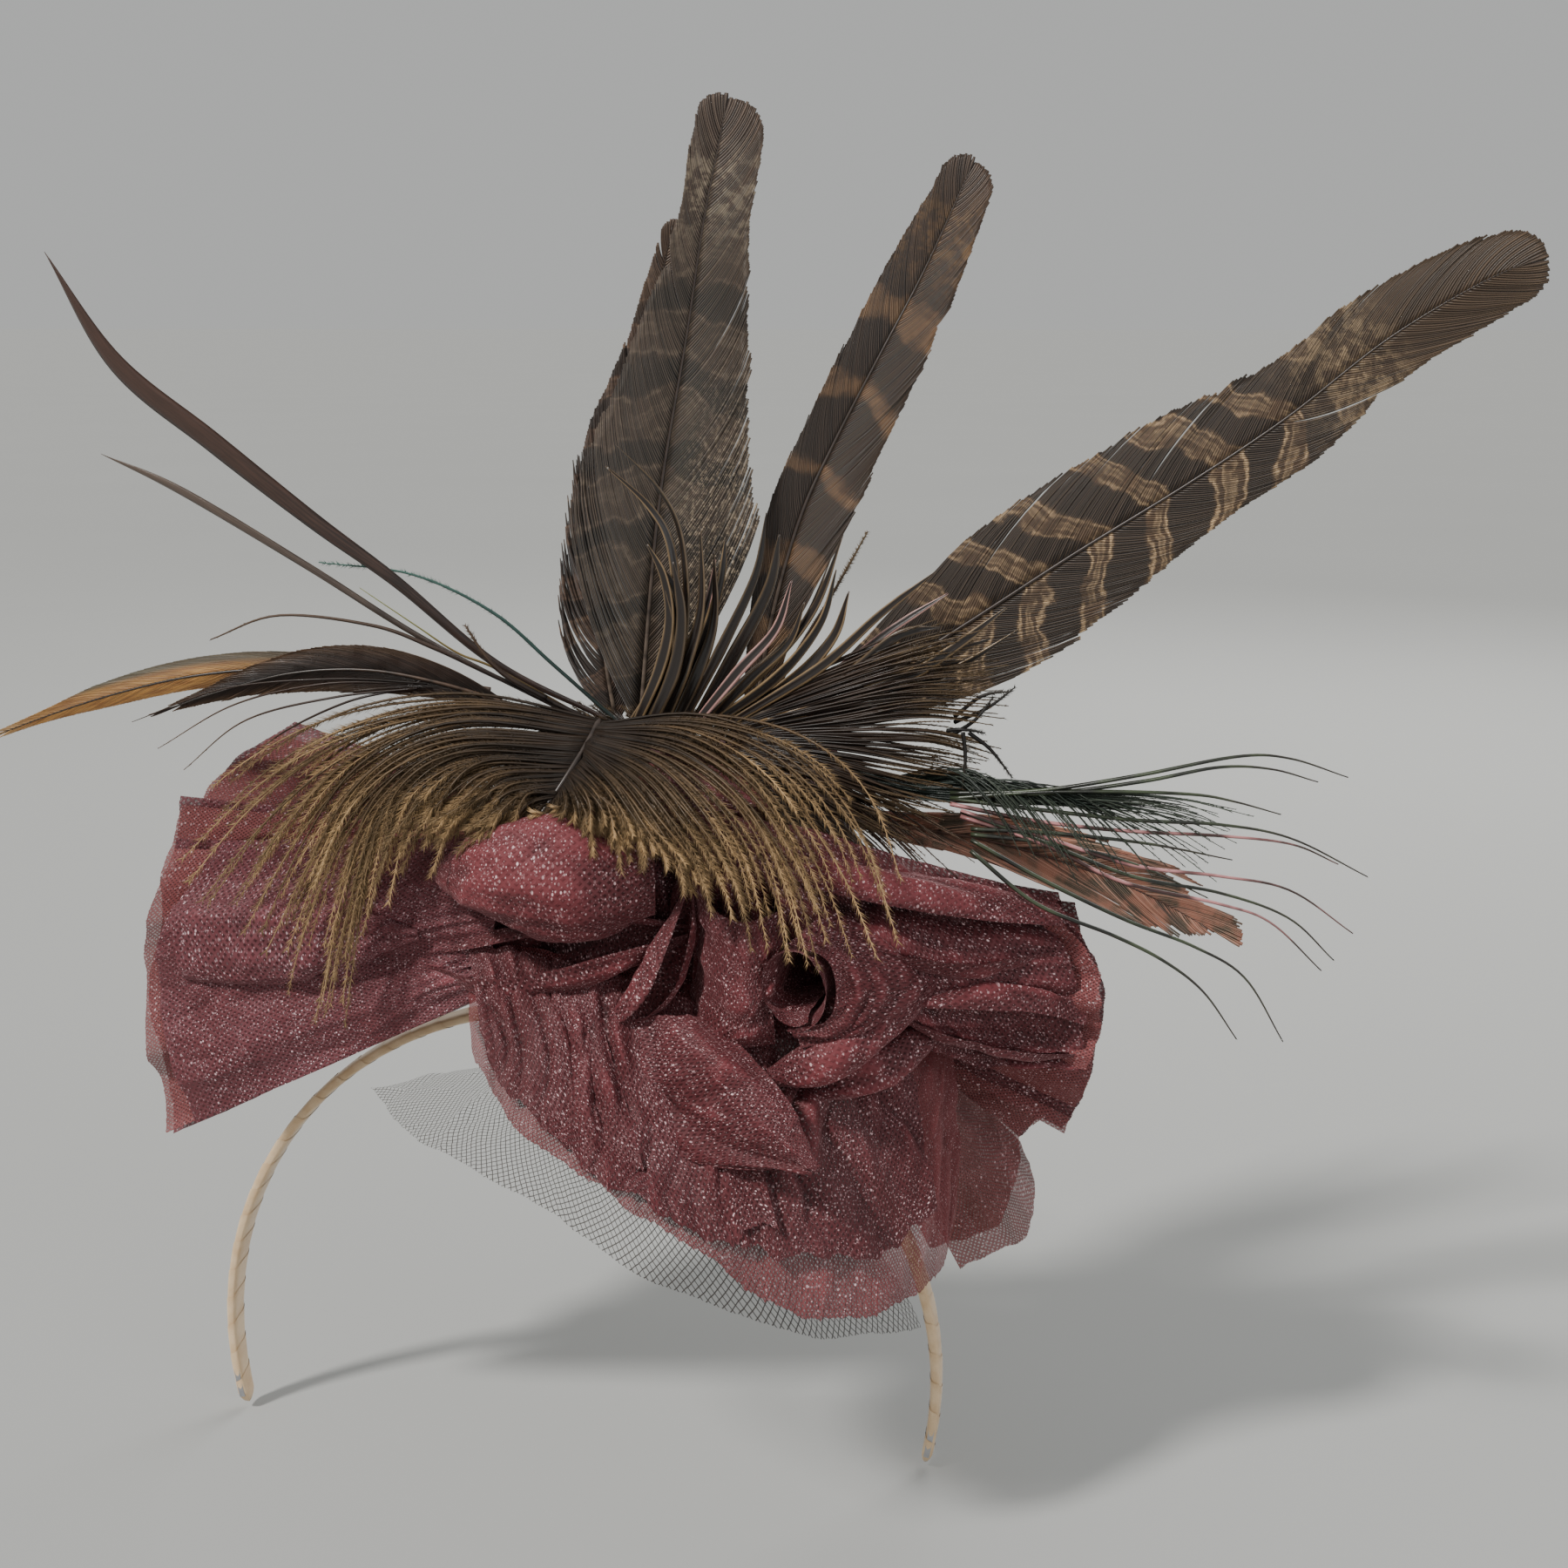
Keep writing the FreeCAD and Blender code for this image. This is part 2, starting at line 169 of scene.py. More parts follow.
def prisms(build, paths, half_w, half_t, facing, uv, tone, sides=4, material=0):
    """Closed slender bars along many paths at once. paths is (n, m, 3); half_w and half_t are (n, m)."""
    n, m = paths.shape[:2]
    _, side, normal = side_frames(paths, facing)
    angles = np.arange(sides) * 2 * math.pi / sides
    ring = (side[:, :, None, :] * (np.cos(angles)[:, None] * half_w[:, :, None, None])
            + normal[:, :, None, :] * (np.sin(angles)[:, None] * half_t[:, :, None, None]))
    verts = (paths[:, :, None, :] + ring).reshape(-1, 3)
    base = (np.arange(n)[:, None, None] * m + np.arange(m - 1)[None, :, None]) * sides
    k = np.arange(sides)[None, None, :]
    nxt = (k + 1) % sides
    quads = np.stack([base + k, base + nxt, base + sides + nxt, base + sides + k], -1).reshape(-1, 4)
    uvs = np.repeat(uv.reshape(n * m, 2), sides, axis=0)
    tones = np.repeat(tone.reshape(n * m, 3), sides, axis=0)
    build.add(verts, quads, uvs, tones, material)
    first = np.arange(n)[:, None] * m * sides + np.arange(sides)[None, ::-1]
    last = (np.arange(n)[:, None] * m + m - 1) * sides + np.arange(sides)[None, :]
    build.faces.append(np.vstack([first, last]) + build.count - len(verts))
    build.mats.append(np.full(2 * n, material))


def needles(build, roots, directions, lengths, radius, uv, tone):
    """Tiny closed spikes, for barbules and fuzz."""
    n = len(roots)
    d = unit(directions)
    a = unit(np.cross(d, rng.normal(size=(n, 3))))
    b = np.cross(d, a)
    verts = np.empty((n, 4, 3))
    for k in range(3):
        turn = 2 * math.pi * k / 3
        verts[:, k] = roots + radius * (a * math.cos(turn) + b * math.sin(turn))
    verts[:, 3] = roots + d * lengths[:, None]
    base = np.arange(n)[:, None] * 4
    tris = np.vstack([base + np.array(f) for f in ((0, 1, 3), (1, 2, 3), (2, 0, 3), (0, 2, 1))])
    build.add(verts, tris, np.repeat(uv, 4, axis=0), np.repeat(tone, 4, axis=0))


def grid_faces(rows, cols):
    i = np.arange(rows - 1)[:, None] * cols + np.arange(cols - 1)[None, :]
    return np.stack([i, i + 1, i + cols + 1, i + cols], -1).reshape(-1, 4)


def loft_faces(rings, sides):
    """Quads of a closed tube of rings, and its two end caps."""
    i = np.arange(rings - 1)[:, None] * sides
    j = np.arange(sides)[None, :]
    nxt = (j + 1) % sides
    quads = np.stack([i + j, i + nxt, i + sides + nxt, i + sides + j], -1).reshape(-1, 4)
    return quads, np.array([list(range(sides))[::-1], list(range((rings - 1) * sides, rings * sides))])


def travel(path):
    """Distance along a path from its start to each of its points."""
    return np.concatenate([[0], np.cumsum(np.linalg.norm(np.diff(path, axis=0), axis=1))])


def finish_piece(obj, body, nodes=()):
    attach(obj, body)
    if nodes:
        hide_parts(*nodes)
    return obj


# ---- materials -------------------------------------------------------------------------------------

class Nodes:
    """A short way to write a material's node tree."""

    def __init__(self, name, roughness=0.6, **sockets):
        self.mat = bpy.data.materials.new(name)
        self.mat.use_nodes = True
        self.tree = self.mat.node_tree
        self.shader = self.tree.nodes["Principled BSDF"]
        self.shader.inputs["Roughness"].default_value = roughness
        for key, value in sockets.items():
            self.shader.inputs[key.replace("_", " ")].default_value = value

    def put(self, socket, value):
        if isinstance(value, bpy.types.NodeSocket):
            self.tree.links.new(value, socket)
        elif isinstance(value, (tuple, list)) and len(value) == 3 and socket.type == "RGBA":
            socket.default_value = (*value, 1)
        else:
            socket.default_value = value

    def node(self, kind, **inputs):
        n = self.tree.nodes.new(kind)
        for key, value in inputs.items():
            self.put(n.inputs[key], value)
        return n

    def math(self, op, a, b=0.0, clamp=False):
        n = self.tree.nodes.new("ShaderNodeMath")
        n.operation = op
        n.use_clamp = clamp
        for socket, value in zip(n.inputs, (a, b, 0.0)):
            self.put(socket, value)
        return n.outputs[0]

    def mul(self, a, b):
        return self.math("MULTIPLY", a, b)

    def add(self, a, b):
        return self.math("ADD", a, b)

    def sub(self, a, b):
        return self.math("SUBTRACT", a, b)

    def size(self, a):
        return self.math("ABSOLUTE", a)

    def step(self, value, low, high, out_low=0.0, out_high=1.0):
        """Rises smoothly from out_low to out_high as value goes from low to high."""
        n = self.tree.nodes.new("ShaderNodeMapRange")
        n.interpolation_type = "SMOOTHSTEP"
        for socket, v in zip(n.inputs, (value, low, high, out_low, out_high)):
            self.put(socket, v)
        return n.outputs[0]

    def mix(self, fac, a, b, blend="MIX"):
        n = self.tree.nodes.new("ShaderNodeMix")
        n.data_type = "RGBA"
        n.blend_type = blend
        self.put(n.inputs[0], fac)
        self.put(n.inputs[6], a)
        self.put(n.inputs[7], b)
        return n.outputs[2]

    def uv(self):
        """Texture coordinates in millimetres, as two sockets and as a vector."""
        n = self.tree.nodes.new("ShaderNodeUVMap")
        n.uv_map = "UVMap"
        scale = self.tree.nodes.new("ShaderNodeVectorMath")
        scale.operation = "SCALE"
        self.put(scale.inputs[0], n.outputs[0])
        scale.inputs["Scale"].default_value = 1 / TEXTURE_SCALE
        xyz = self.node("ShaderNodeSeparateXYZ", Vector=scale.outputs[0])
        return xyz.outputs[0], xyz.outputs[1], scale.outputs[0]

    def tone(self):
        n = self.tree.nodes.new("ShaderNodeAttribute")
        n.attribute_name = "tone"
        xyz = self.node("ShaderNodeSeparateColor", Color=n.outputs["Color"])
        return xyz.outputs[0], xyz.outputs[1], xyz.outputs[2]

    def noise(self, vector, scale, detail=2.0, rough=0.5, stretch=None):
        if stretch:
            m = self.tree.nodes.new("ShaderNodeMapping")
            self.put(m.inputs["Vector"], vector)
            m.inputs["Scale"].default_value = stretch
            vector = m.outputs[0]
        n = self.node("ShaderNodeTexNoise", Vector=vector, Scale=scale, Detail=detail, Roughness=rough)
        return n.outputs["Fac"]

    def position(self):
        return self.node("ShaderNodeTexCoord").outputs["Object"]

    def bump(self, height, strength, distance):
        n = self.node("ShaderNodeBump", Height=height, Strength=strength, Distance=distance)
        self.put(self.shader.inputs["Normal"], n.outputs[0])

    def color(self, value):
        self.put(self.shader.inputs["Base Color"], value)
        return self.mat


def quill_material(name, pale, dark):
    m = Nodes(name, roughness=0.35)
    s, _, vec = m.uv()
    grain = m.noise(vec, 1.4, 3.0, stretch=(0.25, 3.0, 1.0))
    m.bump(grain, 0.25, 0.0001)
    fade = m.step(s, 5.0, 45.0)
    col = m.mix(fade, pale, dark)
    return m.color(m.mix(m.step(grain, 0.35, 0.75), col, scaled(dark, 0.5)))


def grey(m, value):
    n = m.tree.nodes.new("ShaderNodeCombineColor")
    for socket in n.inputs:
        m.put(socket, value)
    return n.outputs[0]


def scaled(color, by):
    return tuple(c * by for c in color)


def barred_material(name, base, dark, light, period, line, tip, tip_start, slant=0.3, ridge_highlight=0.5,
                    flecks=None, sides=(1.0, 1.0), lines=(1.0, 1.0), bar=(-0.25, 0.25)):
    """Barred vane: dark bars with wavy pale lines at their edges, a pale line painted along each barb's ridge
    as a highlight, optional flecks as (side, from, to), and a plain mottled tip. sides tints the left and
    right vane."""
    m = Nodes(name, roughness=0.5, Sheen_Weight=0.12, Sheen_Roughness=0.4)
    s, w, vec = m.uv()
    barb, along, ridge = m.tone()
    drift = m.noise(vec, 0.10, 2.0)
    ragged = m.noise(vec, 0.9, 3.0, 0.6)
    reach = m.size(w)
    phase = m.math("DIVIDE", m.add(s, m.mul(reach, slant)), period)
    phase = m.add(phase, m.mul(drift, 0.9))
    phase = m.add(phase, m.mul(ragged, 0.16))
    wave = m.math("SINE", m.mul(phase, 6.2832))
    col = m.mix(m.step(wave, bar[0], bar[1]), base, dark)
    rim = m.step(m.size(m.sub(wave, bar[0] - 0.05)), 0.0, 0.30, 1.0, 0.0)
    second = m.step(m.size(m.sub(wave, -0.93)), 0.0, 0.12, 0.6, 0.0)
    patchy = m.step(m.noise(vec, 0.25, 2.0), 0.36, 0.56)
    rim = m.mul(m.math("MAXIMUM", rim, second), patchy)
    rim = m.mul(rim, m.step(w, -0.3, 0.3, lines[0], lines[1]))
    col = m.mix(m.mul(rim, line), col, light)
    if flecks:
        speck = m.step(m.noise(vec, 1.0, 4.0, 0.7, stretch=(0.75, 1.3, 1.0)), 0.50, 0.58)
        holes = m.step(m.noise(vec, 0.8, 3.0, 0.6, stretch=(0.8, 1.2, 1.0)), 0.52, 0.60)
        where = m.step(m.mul(w, flecks[0]), 1.0, 8.0)
        where = m.mul(where, m.step(s, flecks[2], flecks[1]))
        col = m.mix(m.mul(m.mul(speck, where), 0.85), col, light)
        col = m.mix(m.mul(m.mul(holes, where), 0.9), col, scaled(dark, 0.6))
    mottle = m.step(m.noise(vec, 0.4, 5.0, 0.7), 0.45, 0.60)
    tip_col = m.mix(mottle, tip, scaled(light, 0.45))
    col = m.mix(m.step(s, tip_start - 4.0, tip_start + 12.0, 0.0, 0.9), col, tip_col)
    end = m.step(s, tip_start + 14.0, tip_start + 24.0)
    col = m.mix(end, col, tip)
    # painted highlight: the ridge of each barb is lightened
    col = m.mix(m.mul(ridge, ridge_highlight), col, m.mix(0.5, col, light))
    col = m.mix(m.step(along, 0.97, 0.6, 0.0, 0.25), col, scaled(dark, 0.7))
    shade = m.add(0.55, m.mul(barb, 0.85))
    tint = m.step(w, -0.3, 0.3, sides[0], sides[1])
    col = m.mix(1.0, col, grey(m, m.mul(shade, tint)), "MULTIPLY")
    m.put(m.shader.inputs["Roughness"], m.step(barb, 0.0, 1.0, 0.40, 0.62))
    m.bump(m.noise(vec, 6.0, 2.0, stretch=(4.0, 0.6, 1.0)), 0.2, 0.00005)
    return m.color(col)


def plume_material(name, root, middle, tip, start=0.45, roughness=0.5):
    """Barbs that run from a dark root to a paler tip."""
    m = Nodes(name, roughness=roughness, Specular_IOR_Level=0.35)
    vec = m.uv()[2]
    barb, along, _ = m.tone()
    patch = m.noise(vec, 0.25, 2.0)
    reach = m.add(along, m.mul(m.sub(patch, 0.5), 0.35))
    col = m.mix(m.step(reach, 0.08, start), root, middle)
    col = m.mix(m.step(reach, start, 0.95), col, tip)
    shade = m.add(0.5, m.mul(barb, 0.9))
    col = m.mix(1.0, col, grey(m, shade), "MULTIPLY")
    m.bump(m.noise(vec, 5.0, 2.0), 0.15, 0.00005)
    m.put(m.shader.inputs["Roughness"], m.step(patch, 0.3, 0.7, roughness - 0.1, roughness + 0.12))
    return m.color(col)


def tulle_material(name, thread, spark, open_alpha, thread_alpha, spark_share, pitch=0.95, sheen=0.3,
                   net=(0.12, 0.36)):
    """Sparkle tulle: a fine diamond net that lets light through, with glitter specks on its threads whose
    near-white colour is a painted glint, and painted fold shade and highlight from the tone.
    """
    m = Nodes(name, roughness=0.5, Sheen_Weight=sheen, Sheen_Roughness=0.35, Specular_IOR_Level=0.22)
    m.shader.inputs["Sheen Tint"].default_value = (0.9, 0.42, 0.44, 1)
    ridge = m.tone()[0]
    u, v, vec = m.uv()
    mask = None
    for op in ("ADD", "SUBTRACT"):
        x = m.math("FRACT", m.math("DIVIDE", m.math(op, u, m.mul(v, 0.6)), pitch))
        line = m.step(m.size(m.sub(x, 0.5)), net[0], net[1])
        mask = line if mask is None else m.math("MAXIMUM", mask, line)
    # glitter specks: the specks are real, but their near-white colour and random brightness are painted
    # glints
    glint = None
    for scale, size in ((1.1, 0.30), (1.7, 0.33), (2.6, 0.34)):
        cells = m.tree.nodes.new("ShaderNodeTexVoronoi")
        m.put(cells.inputs["Vector"], vec)
        cells.inputs["Scale"].default_value = scale
        cells.inputs["Randomness"].default_value = 0.8
        draw = m.node("ShaderNodeSeparateColor", Color=cells.outputs["Color"])
        spot = m.step(cells.outputs["Distance"], size, size * 0.55)
        chosen = m.step(draw.outputs[0], 1.0 - spark_share, 1.05 - spark_share)
        bright = m.add(0.16, m.mul(m.math("POWER", draw.outputs[1], 3.0), 0.8))
        one = m.mul(m.mul(spot, chosen), bright)
        glint = one if glint is None else m.math("MAXIMUM", glint, one)
    patch = m.step(m.noise(vec, 0.06, 3.0), 0.3, 0.7, 0.45, 1.15)
    glow = m.math("MULTIPLY", glint, patch, clamp=True)
    tint = m.noise(vec, 0.05, 2.0)
    body = m.mix(m.step(tint, 0.3, 0.7), thread, (thread[0] * 1.25, thread[1] * 1.5, thread[2] * 1.5))
    body = m.mix(mask, scaled(thread, 0.55), body)
    # painted shade: the valleys of the folds are darkened from the tone; painted highlight: their ridges are
    # lightened
    body = m.mix(m.step(ridge, 0.48, 0.10, 0.0, 0.85), body, scaled(thread, 0.16))
    body = m.mix(m.step(ridge, 0.52, 0.90, 0.0, 0.8), body, scaled(thread, 2.2))
    m.put(m.shader.inputs["Roughness"], m.sub(0.58, m.mul(glow, 0.3)))
    alpha = m.step(mask, 0.0, 1.0, open_alpha, thread_alpha)
    m.put(m.shader.inputs["Alpha"], m.math("MAXIMUM", alpha, m.mul(glow, 0.95)))
    m.bump(m.add(mask, m.mul(glow, 1.5)), 0.55, 0.00022)
    return m.color(m.mix(glow, body, spark))


def satin_material():
    m = Nodes("cream_satin_ribbon", roughness=0.38, Sheen_Weight=0.25, Anisotropic=0.4)
    _, v, vec = m.uv()
    weave = m.noise(vec, 6.0, 2.0, stretch=(0.3, 5.0, 1.0))
    fold = m.noise(vec, 0.22, 2.0)
    col = m.mix(m.step(fold, 0.3, 0.7), (0.66, 0.45, 0.25), (0.80, 0.60, 0.38))
    col = m.mix(m.step(weave, 0.35, 0.7, 0.0, 0.35), col, (0.45, 0.30, 0.15))
    col = m.mix(m.step(v, 1.6, 0.2, 0.0, 0.6), col, (0.40, 0.25, 0.12))
    m.bump(weave, 0.25, 0.0001)
    return m.color(col)


def felt_material():
    m = Nodes("pressed_felt", roughness=0.95, Sheen_Weight=0.08, Specular_IOR_Level=0.2)
    p = m.position()
    fibres = m.noise(p, 2600.0, 5.0, 0.7)
    m.bump(fibres, 0.6, 0.0004)
    return m.color(m.mix(m.step(fibres, 0.35, 0.7), (0.055, 0.018, 0.022), (0.11, 0.04, 0.045)))


def steel_material():
    m = Nodes("spring_steel", roughness=0.35, Metallic=1.0)
    grain = m.noise(m.position(), 900.0, 3.0, stretch=(1.0, 14.0, 1.0))
    m.put(m.shader.inputs["Roughness"], m.step(grain, 0.3, 0.7, 0.28, 0.48))
    return m.color(m.mix(grain, (0.42, 0.42, 0.43), (0.58, 0.58, 0.6)))


def thread_material():
    m = Nodes("sewing_thread", roughness=0.6, Sheen_Weight=0.3)
    twist = m.noise(m.position(), 3000.0, 2.0, stretch=(1.0, 1.0, 4.0))
    m.bump(twist, 0.5, 0.0001)
    return m.color(m.mix(twist, (0.10, 0.03, 0.035), (0.22, 0.08, 0.09)))


def stage_material():
    m = Nodes("pale_floor", roughness=0.85)
    spread = m.noise(m.position(), 3.0, 3.0)
    return m.color(m.mix(spread, (0.365, 0.37, 0.362), (0.385, 0.39, 0.382)))


# ---- camera, lights and floor ----------------------------------------------------------------------

def studio():
    scene = bpy.context.scene
    cam = bpy.data.cameras.new("camera")
    cam.lens = 50.0
    cam.sensor_width = 36.0
    cam.clip_end = 200.0
    camera = bpy.data.objects.new("camera", cam)
    camera.location = (0.117, -0.411, 0.213)
    camera.rotation_euler = Euler((math.radians(90 - 12), 0, math.radians(10)), "XYZ")
    scene.collection.objects.link(camera)
    scene.camera = camera

    def area(name, place, aim, size, power, color):
        light = bpy.data.lights.new(name, "AREA")
        light.shape = "DISK"
        light.size = size
        light.energy = power
        light.color = color
        obj = bpy.data.objects.new(name, light)
        obj.location = place
        obj.rotation_euler = (Vector(aim) - Vector(place)).to_track_quat("-Z", "Y").to_euler()
        scene.collection.objects.link(obj)

    target = (0.02, -0.02, 0.11)
    sun = bpy.data.lights.new("key", "SUN")
    sun.energy = 3.3
    sun.angle = math.radians(7)
    sun.color = (1.0, 0.975, 0.94)
    key = bpy.data.objects.new("key", sun)
    key.rotation_euler = (Vector(target) - Vector((-0.62, -0.75, 1.15))).to_track_quat("-Z", "Y").to_euler()
    scene.collection.objects.link(key)
    area("fill", (0.9, -0.7, 0.45), target, 0.9, 3.0, (0.93, 0.96, 1.0))
    area("back", (0.35, 1.0, 0.8), target, 0.8, 7.0, (1.0, 0.99, 0.97))
    world = bpy.data.worlds.new("studio")
    world.use_nodes = True
    world.node_tree.nodes["Background"].inputs[0].default_value = (0.80, 0.81, 0.80, 1)
    world.node_tree.nodes["Background"].inputs[1].default_value = 0.60
    scene.world = world
    floor_z = cad_box[0][2] - 0.0004
    bpy.ops.mesh.primitive_plane_add(size=120.0, location=(0, 0, floor_z))
    floor = bpy.context.object
    floor.name = "floor"
    floor.data.materials.append(stage_material())


# ---- feathers --------------------------------------------------------------------------------------

def vane_feather(name, shaft, left, right, materials, barbs=130, angle=28.0, seed=1, camber=0.9,
                 split=1.0, shaft_w=0.5, notches=(), fray=None):
    """A feather of real barbs. shaft is a line from foot to tip, left and right the vane's widths on it.
    A notch is (side, distance, opening); fray is (side, from, to, amount) in millimetres."""
    r = np.random.default_rng(seed)
    line = curve(shaft, 400)
    dist = travel(line)
    length = dist[-1]
    widths = {-1: curve(left, 400), 1: curve(right, 400)}
    tangent = unit(np.gradient(line, axis=0))
    side = unit(np.cross(tangent, FORWARD))
    normal = np.cross(tangent, side)

    def at(values, s):
        if values.ndim == 1:
            return np.interp(s, dist, values)
        return np.stack([np.interp(s, dist, values[:, k]) for k in range(3)], -1)

    build = Builder()
    m = 10
    u = np.linspace(0, 1, m)[None, :]
    for sign in (-1, 1):
        root = np.linspace(0.02 * length, 0.97 * length, barbs)
        root = root + r.uniform(-0.15, 0.15, barbs) * length / barbs
        lean = math.tan(math.radians(angle))
        tip = root + 2
        for _ in range(8):
            tip = root + at(widths[sign], np.minimum(tip, length)) / lean
        reach = at(widths[sign], np.minimum(tip, length))
        cap = length - 1.6 * widths[sign][-1]
        first = root[min(np.searchsorted(tip, cap), barbs - 10)]
        turn = np.clip((root - first) / (root[-1] - first), 0, 1) * math.pi / 2
        late = root > first
        reach = np.where(late, np.interp(cap, dist, widths[sign]) * np.cos(turn) ** 0.8 + 0.1, reach)
        tip = np.where(late, cap + (length - cap) * np.sin(turn), tip)
        group = np.cumsum(r.random(barbs) < 0.07)
        pull = r.normal(0, 1, group.max() + 1)[group]
        edge = r.normal(0, 1, barbs)
        reach = reach * (1 + split * (0.018 * pull + 0.008 * edge))
        tip = tip + split * (0.45 * pull + 0.12 * edge)
        for where, place, opening in notches:
            if where == sign:
                away = root - place
                tip = tip + opening * np.where(away < 0, -1.0, 1.0) * np.exp(-np.abs(away) / 5.0)
                reach = reach - 0.35 * opening * (away < 0) * np.exp(-np.abs(away) / 5.0)
        loose = np.zeros(barbs)
        if fray and fray[0] == sign:
            loose = np.clip((root - fray[1]) / 4, 0, 1) * np.clip((fray[2] - root) / 4, 0, 1) * fray[3]
            reach = reach + loose * r.uniform(-0.2, 1.0, barbs)
            tip = tip + loose * r.uniform(-0.6, 2.4, barbs)
        lift = 0.12 * split * pull + 0.03 * edge + loose * r.normal(0, 0.5, barbs)
        w = reach[:, None] * (1 - (1 - u) ** 1.25)
        s = root[:, None] + (tip - root)[:, None] * (0.68 * u + 0.32 * u**2)
        over = np.maximum(s - length, 0)
        inside = np.minimum(s, length)
        curl = camber * (w / 10.0) ** 2 - lift[:, None] * u**2
        paths = (at(line, inside) + over[..., None] * tangent[-1] + at(side, inside) * sign * w[..., None]
                 + at(normal, inside) * curl[..., None])
        along = unit(np.gradient(paths, axis=1))
        apart = np.diff(paths, axis=0, append=2 * paths[-1:] - paths[-2:-1])
        apart = np.linalg.norm(apart - np.sum(apart * along, -1, keepdims=True) * along, axis=-1)
        usual = np.median(apart, axis=0)[None, :]
        spacing = np.where(late[:, None], np.minimum(apart, 3 * usual), np.minimum(apart, 1.5 * usual))
        spacing = np.maximum(spacing, 0.7 * usual)
        thin = np.where(loose[:, None] > 0.3, 0.35, 0.85)
        half_w = 0.66 * spacing * (1 - (1 - thin) * np.clip((u - 0.85) / 0.15, 0, 1)) + 0.02
        half_t = 0.07 * np.interp(u, [0, 1.0], [1.3, 0.7]) * np.ones((barbs, 1))
        shade = np.clip(r.normal(0.5, 0.22, barbs), 0, 1)
        uv = np.stack([s, w * sign], -1)
        for is_ridge in (0, 1):
            mark = np.full((barbs, m), float(is_ridge))
            tone = np.stack([np.repeat(shade[:, None], m, 1), np.repeat(u, barbs, 0), mark], -1)
            if is_ridge:
                half_w, half_t = half_w * 0.30, half_t * 1.9
            prisms(build, paths, half_w, half_t, FORWARD, uv, tone, 4, 0)
    n = 90
    pick = np.linspace(0, length * 0.99, n)
    taper = np.interp(pick / length, [0, 0.25, 1], [shaft_w, shaft_w * 0.75, 0.12])[None]
    uv = np.stack([pick, np.zeros(n)], -1)[None]
    prisms(build, at(line, pick)[None], taper, taper, FORWARD, uv, np.full((1, n, 3), 0.5), 8, 1)
    return build.make(name, materials)


def blade(name, line, left, right, thick, material):
    """A stripped, glossy feather: one smooth tapering blade with a raised midrib."""
    n = 90
    path = curve(line, n)
    wl, wr = curve(left, n), curve(right, n)
    tangent = unit(np.gradient(path, axis=0))
    side = unit(np.cross(tangent, FORWARD))
    normal = np.cross(side, tangent) * -1
    dist = travel(path)
    profile = [(-1, 0), (-0.6, 0.30), (-0.16, 0.45), (0, 1.0), (0.16, 0.45), (0.6, 0.30), (1, 0),
               (0.6, -0.35), (0, -0.6), (-0.6, -0.35)]
    k = len(profile)
    verts = np.empty((n, k, 3))
    uv = np.empty((n, k, 2))
    twist = wobble(dist, 3, 0.03) * 0.25
    for j, (a, b) in enumerate(profile):
        w = np.where(a < 0, wl, wr) * a
        h = b * thick * np.minimum(1, (wl + wr) / 2) + w * twist
        verts[:, j] = path + side * w[:, None] + normal * h[:, None]
        uv[:, j] = np.stack([dist, np.full(n, a * 2)], -1)
    quads, caps = loft_faces(n, k)
    build = Builder()
    tone = np.repeat(np.stack([np.full(n, 0.5), np.linspace(0, 1, n), np.full(n, 0.5)], -1), k, axis=0)
    build.add(verts, quads, uv, tone)
    build.faces.append(caps)
    build.mats.append(np.zeros(2, int))
    return build.make(name, [material])


def spread(keys, count, jitter, seed, bunch=0.0, bias=1.0):
    """Barb paths between a few key barbs. Each key is a list of points from root to tip."""
    r = np.random.default_rng(seed)
    m = 24
    keys = np.array([curve(k, m) for k in keys])
    t = np.linspace(0, 1, count) + r.uniform(-0.3, 0.3, count) / count
    t = 1 - (1 - np.clip(t, 0, 1)) ** bias
    if bunch:
        groups = np.round(t * count / 5.0) * 5.0 / count
        tip_t = t * (1 - bunch) + groups * bunch
    else:
        tip_t = t
    flat = keys.reshape(len(keys), -1)

    def pick(tt):
        i = np.minimum((tt * (len(keys) - 1)).astype(int), len(keys) - 2)
        f = (tt * (len(keys) - 1) - i)[:, None]
        f = f * f * (3 - 2 * f) * 0.4 + f * 0.6
        return (flat[i] * (1 - f) + flat[i + 1] * f).reshape(len(tt), m, 3)

    u = np.linspace(0, 1, m)[None, :, None]
    paths = pick(t) * (1 - u**1.5) + pick(np.clip(tip_t, 0, 1)) * u**1.5
    shift = r.normal(0, 1, (count, 1, 3)) * np.array([1.0, 0.6, 1.0])
    paths = paths + shift * jitter * u**1.3
    wave = r.normal(0, 1, (count, 1, 3)) * np.sin(u * math.pi * r.uniform(1, 2, (count, 1, 1)))
    return paths + wave * jitter * 0.25


def cut_lengths(paths, low, high, seed):
    """Trim each path to its own length, so the tips aren't in line."""
    r = np.random.default_rng(seed)
    n, m = paths.shape[:2]
    keep = r.uniform(low, high, n)
    out = np.empty_like(paths)
    for i in range(n):
        x = np.linspace(0, keep[i], m)
        for k in range(3):
            out[i, :, k] = np.interp(x, np.linspace(0, 1, m), paths[i, :, k])
    return out


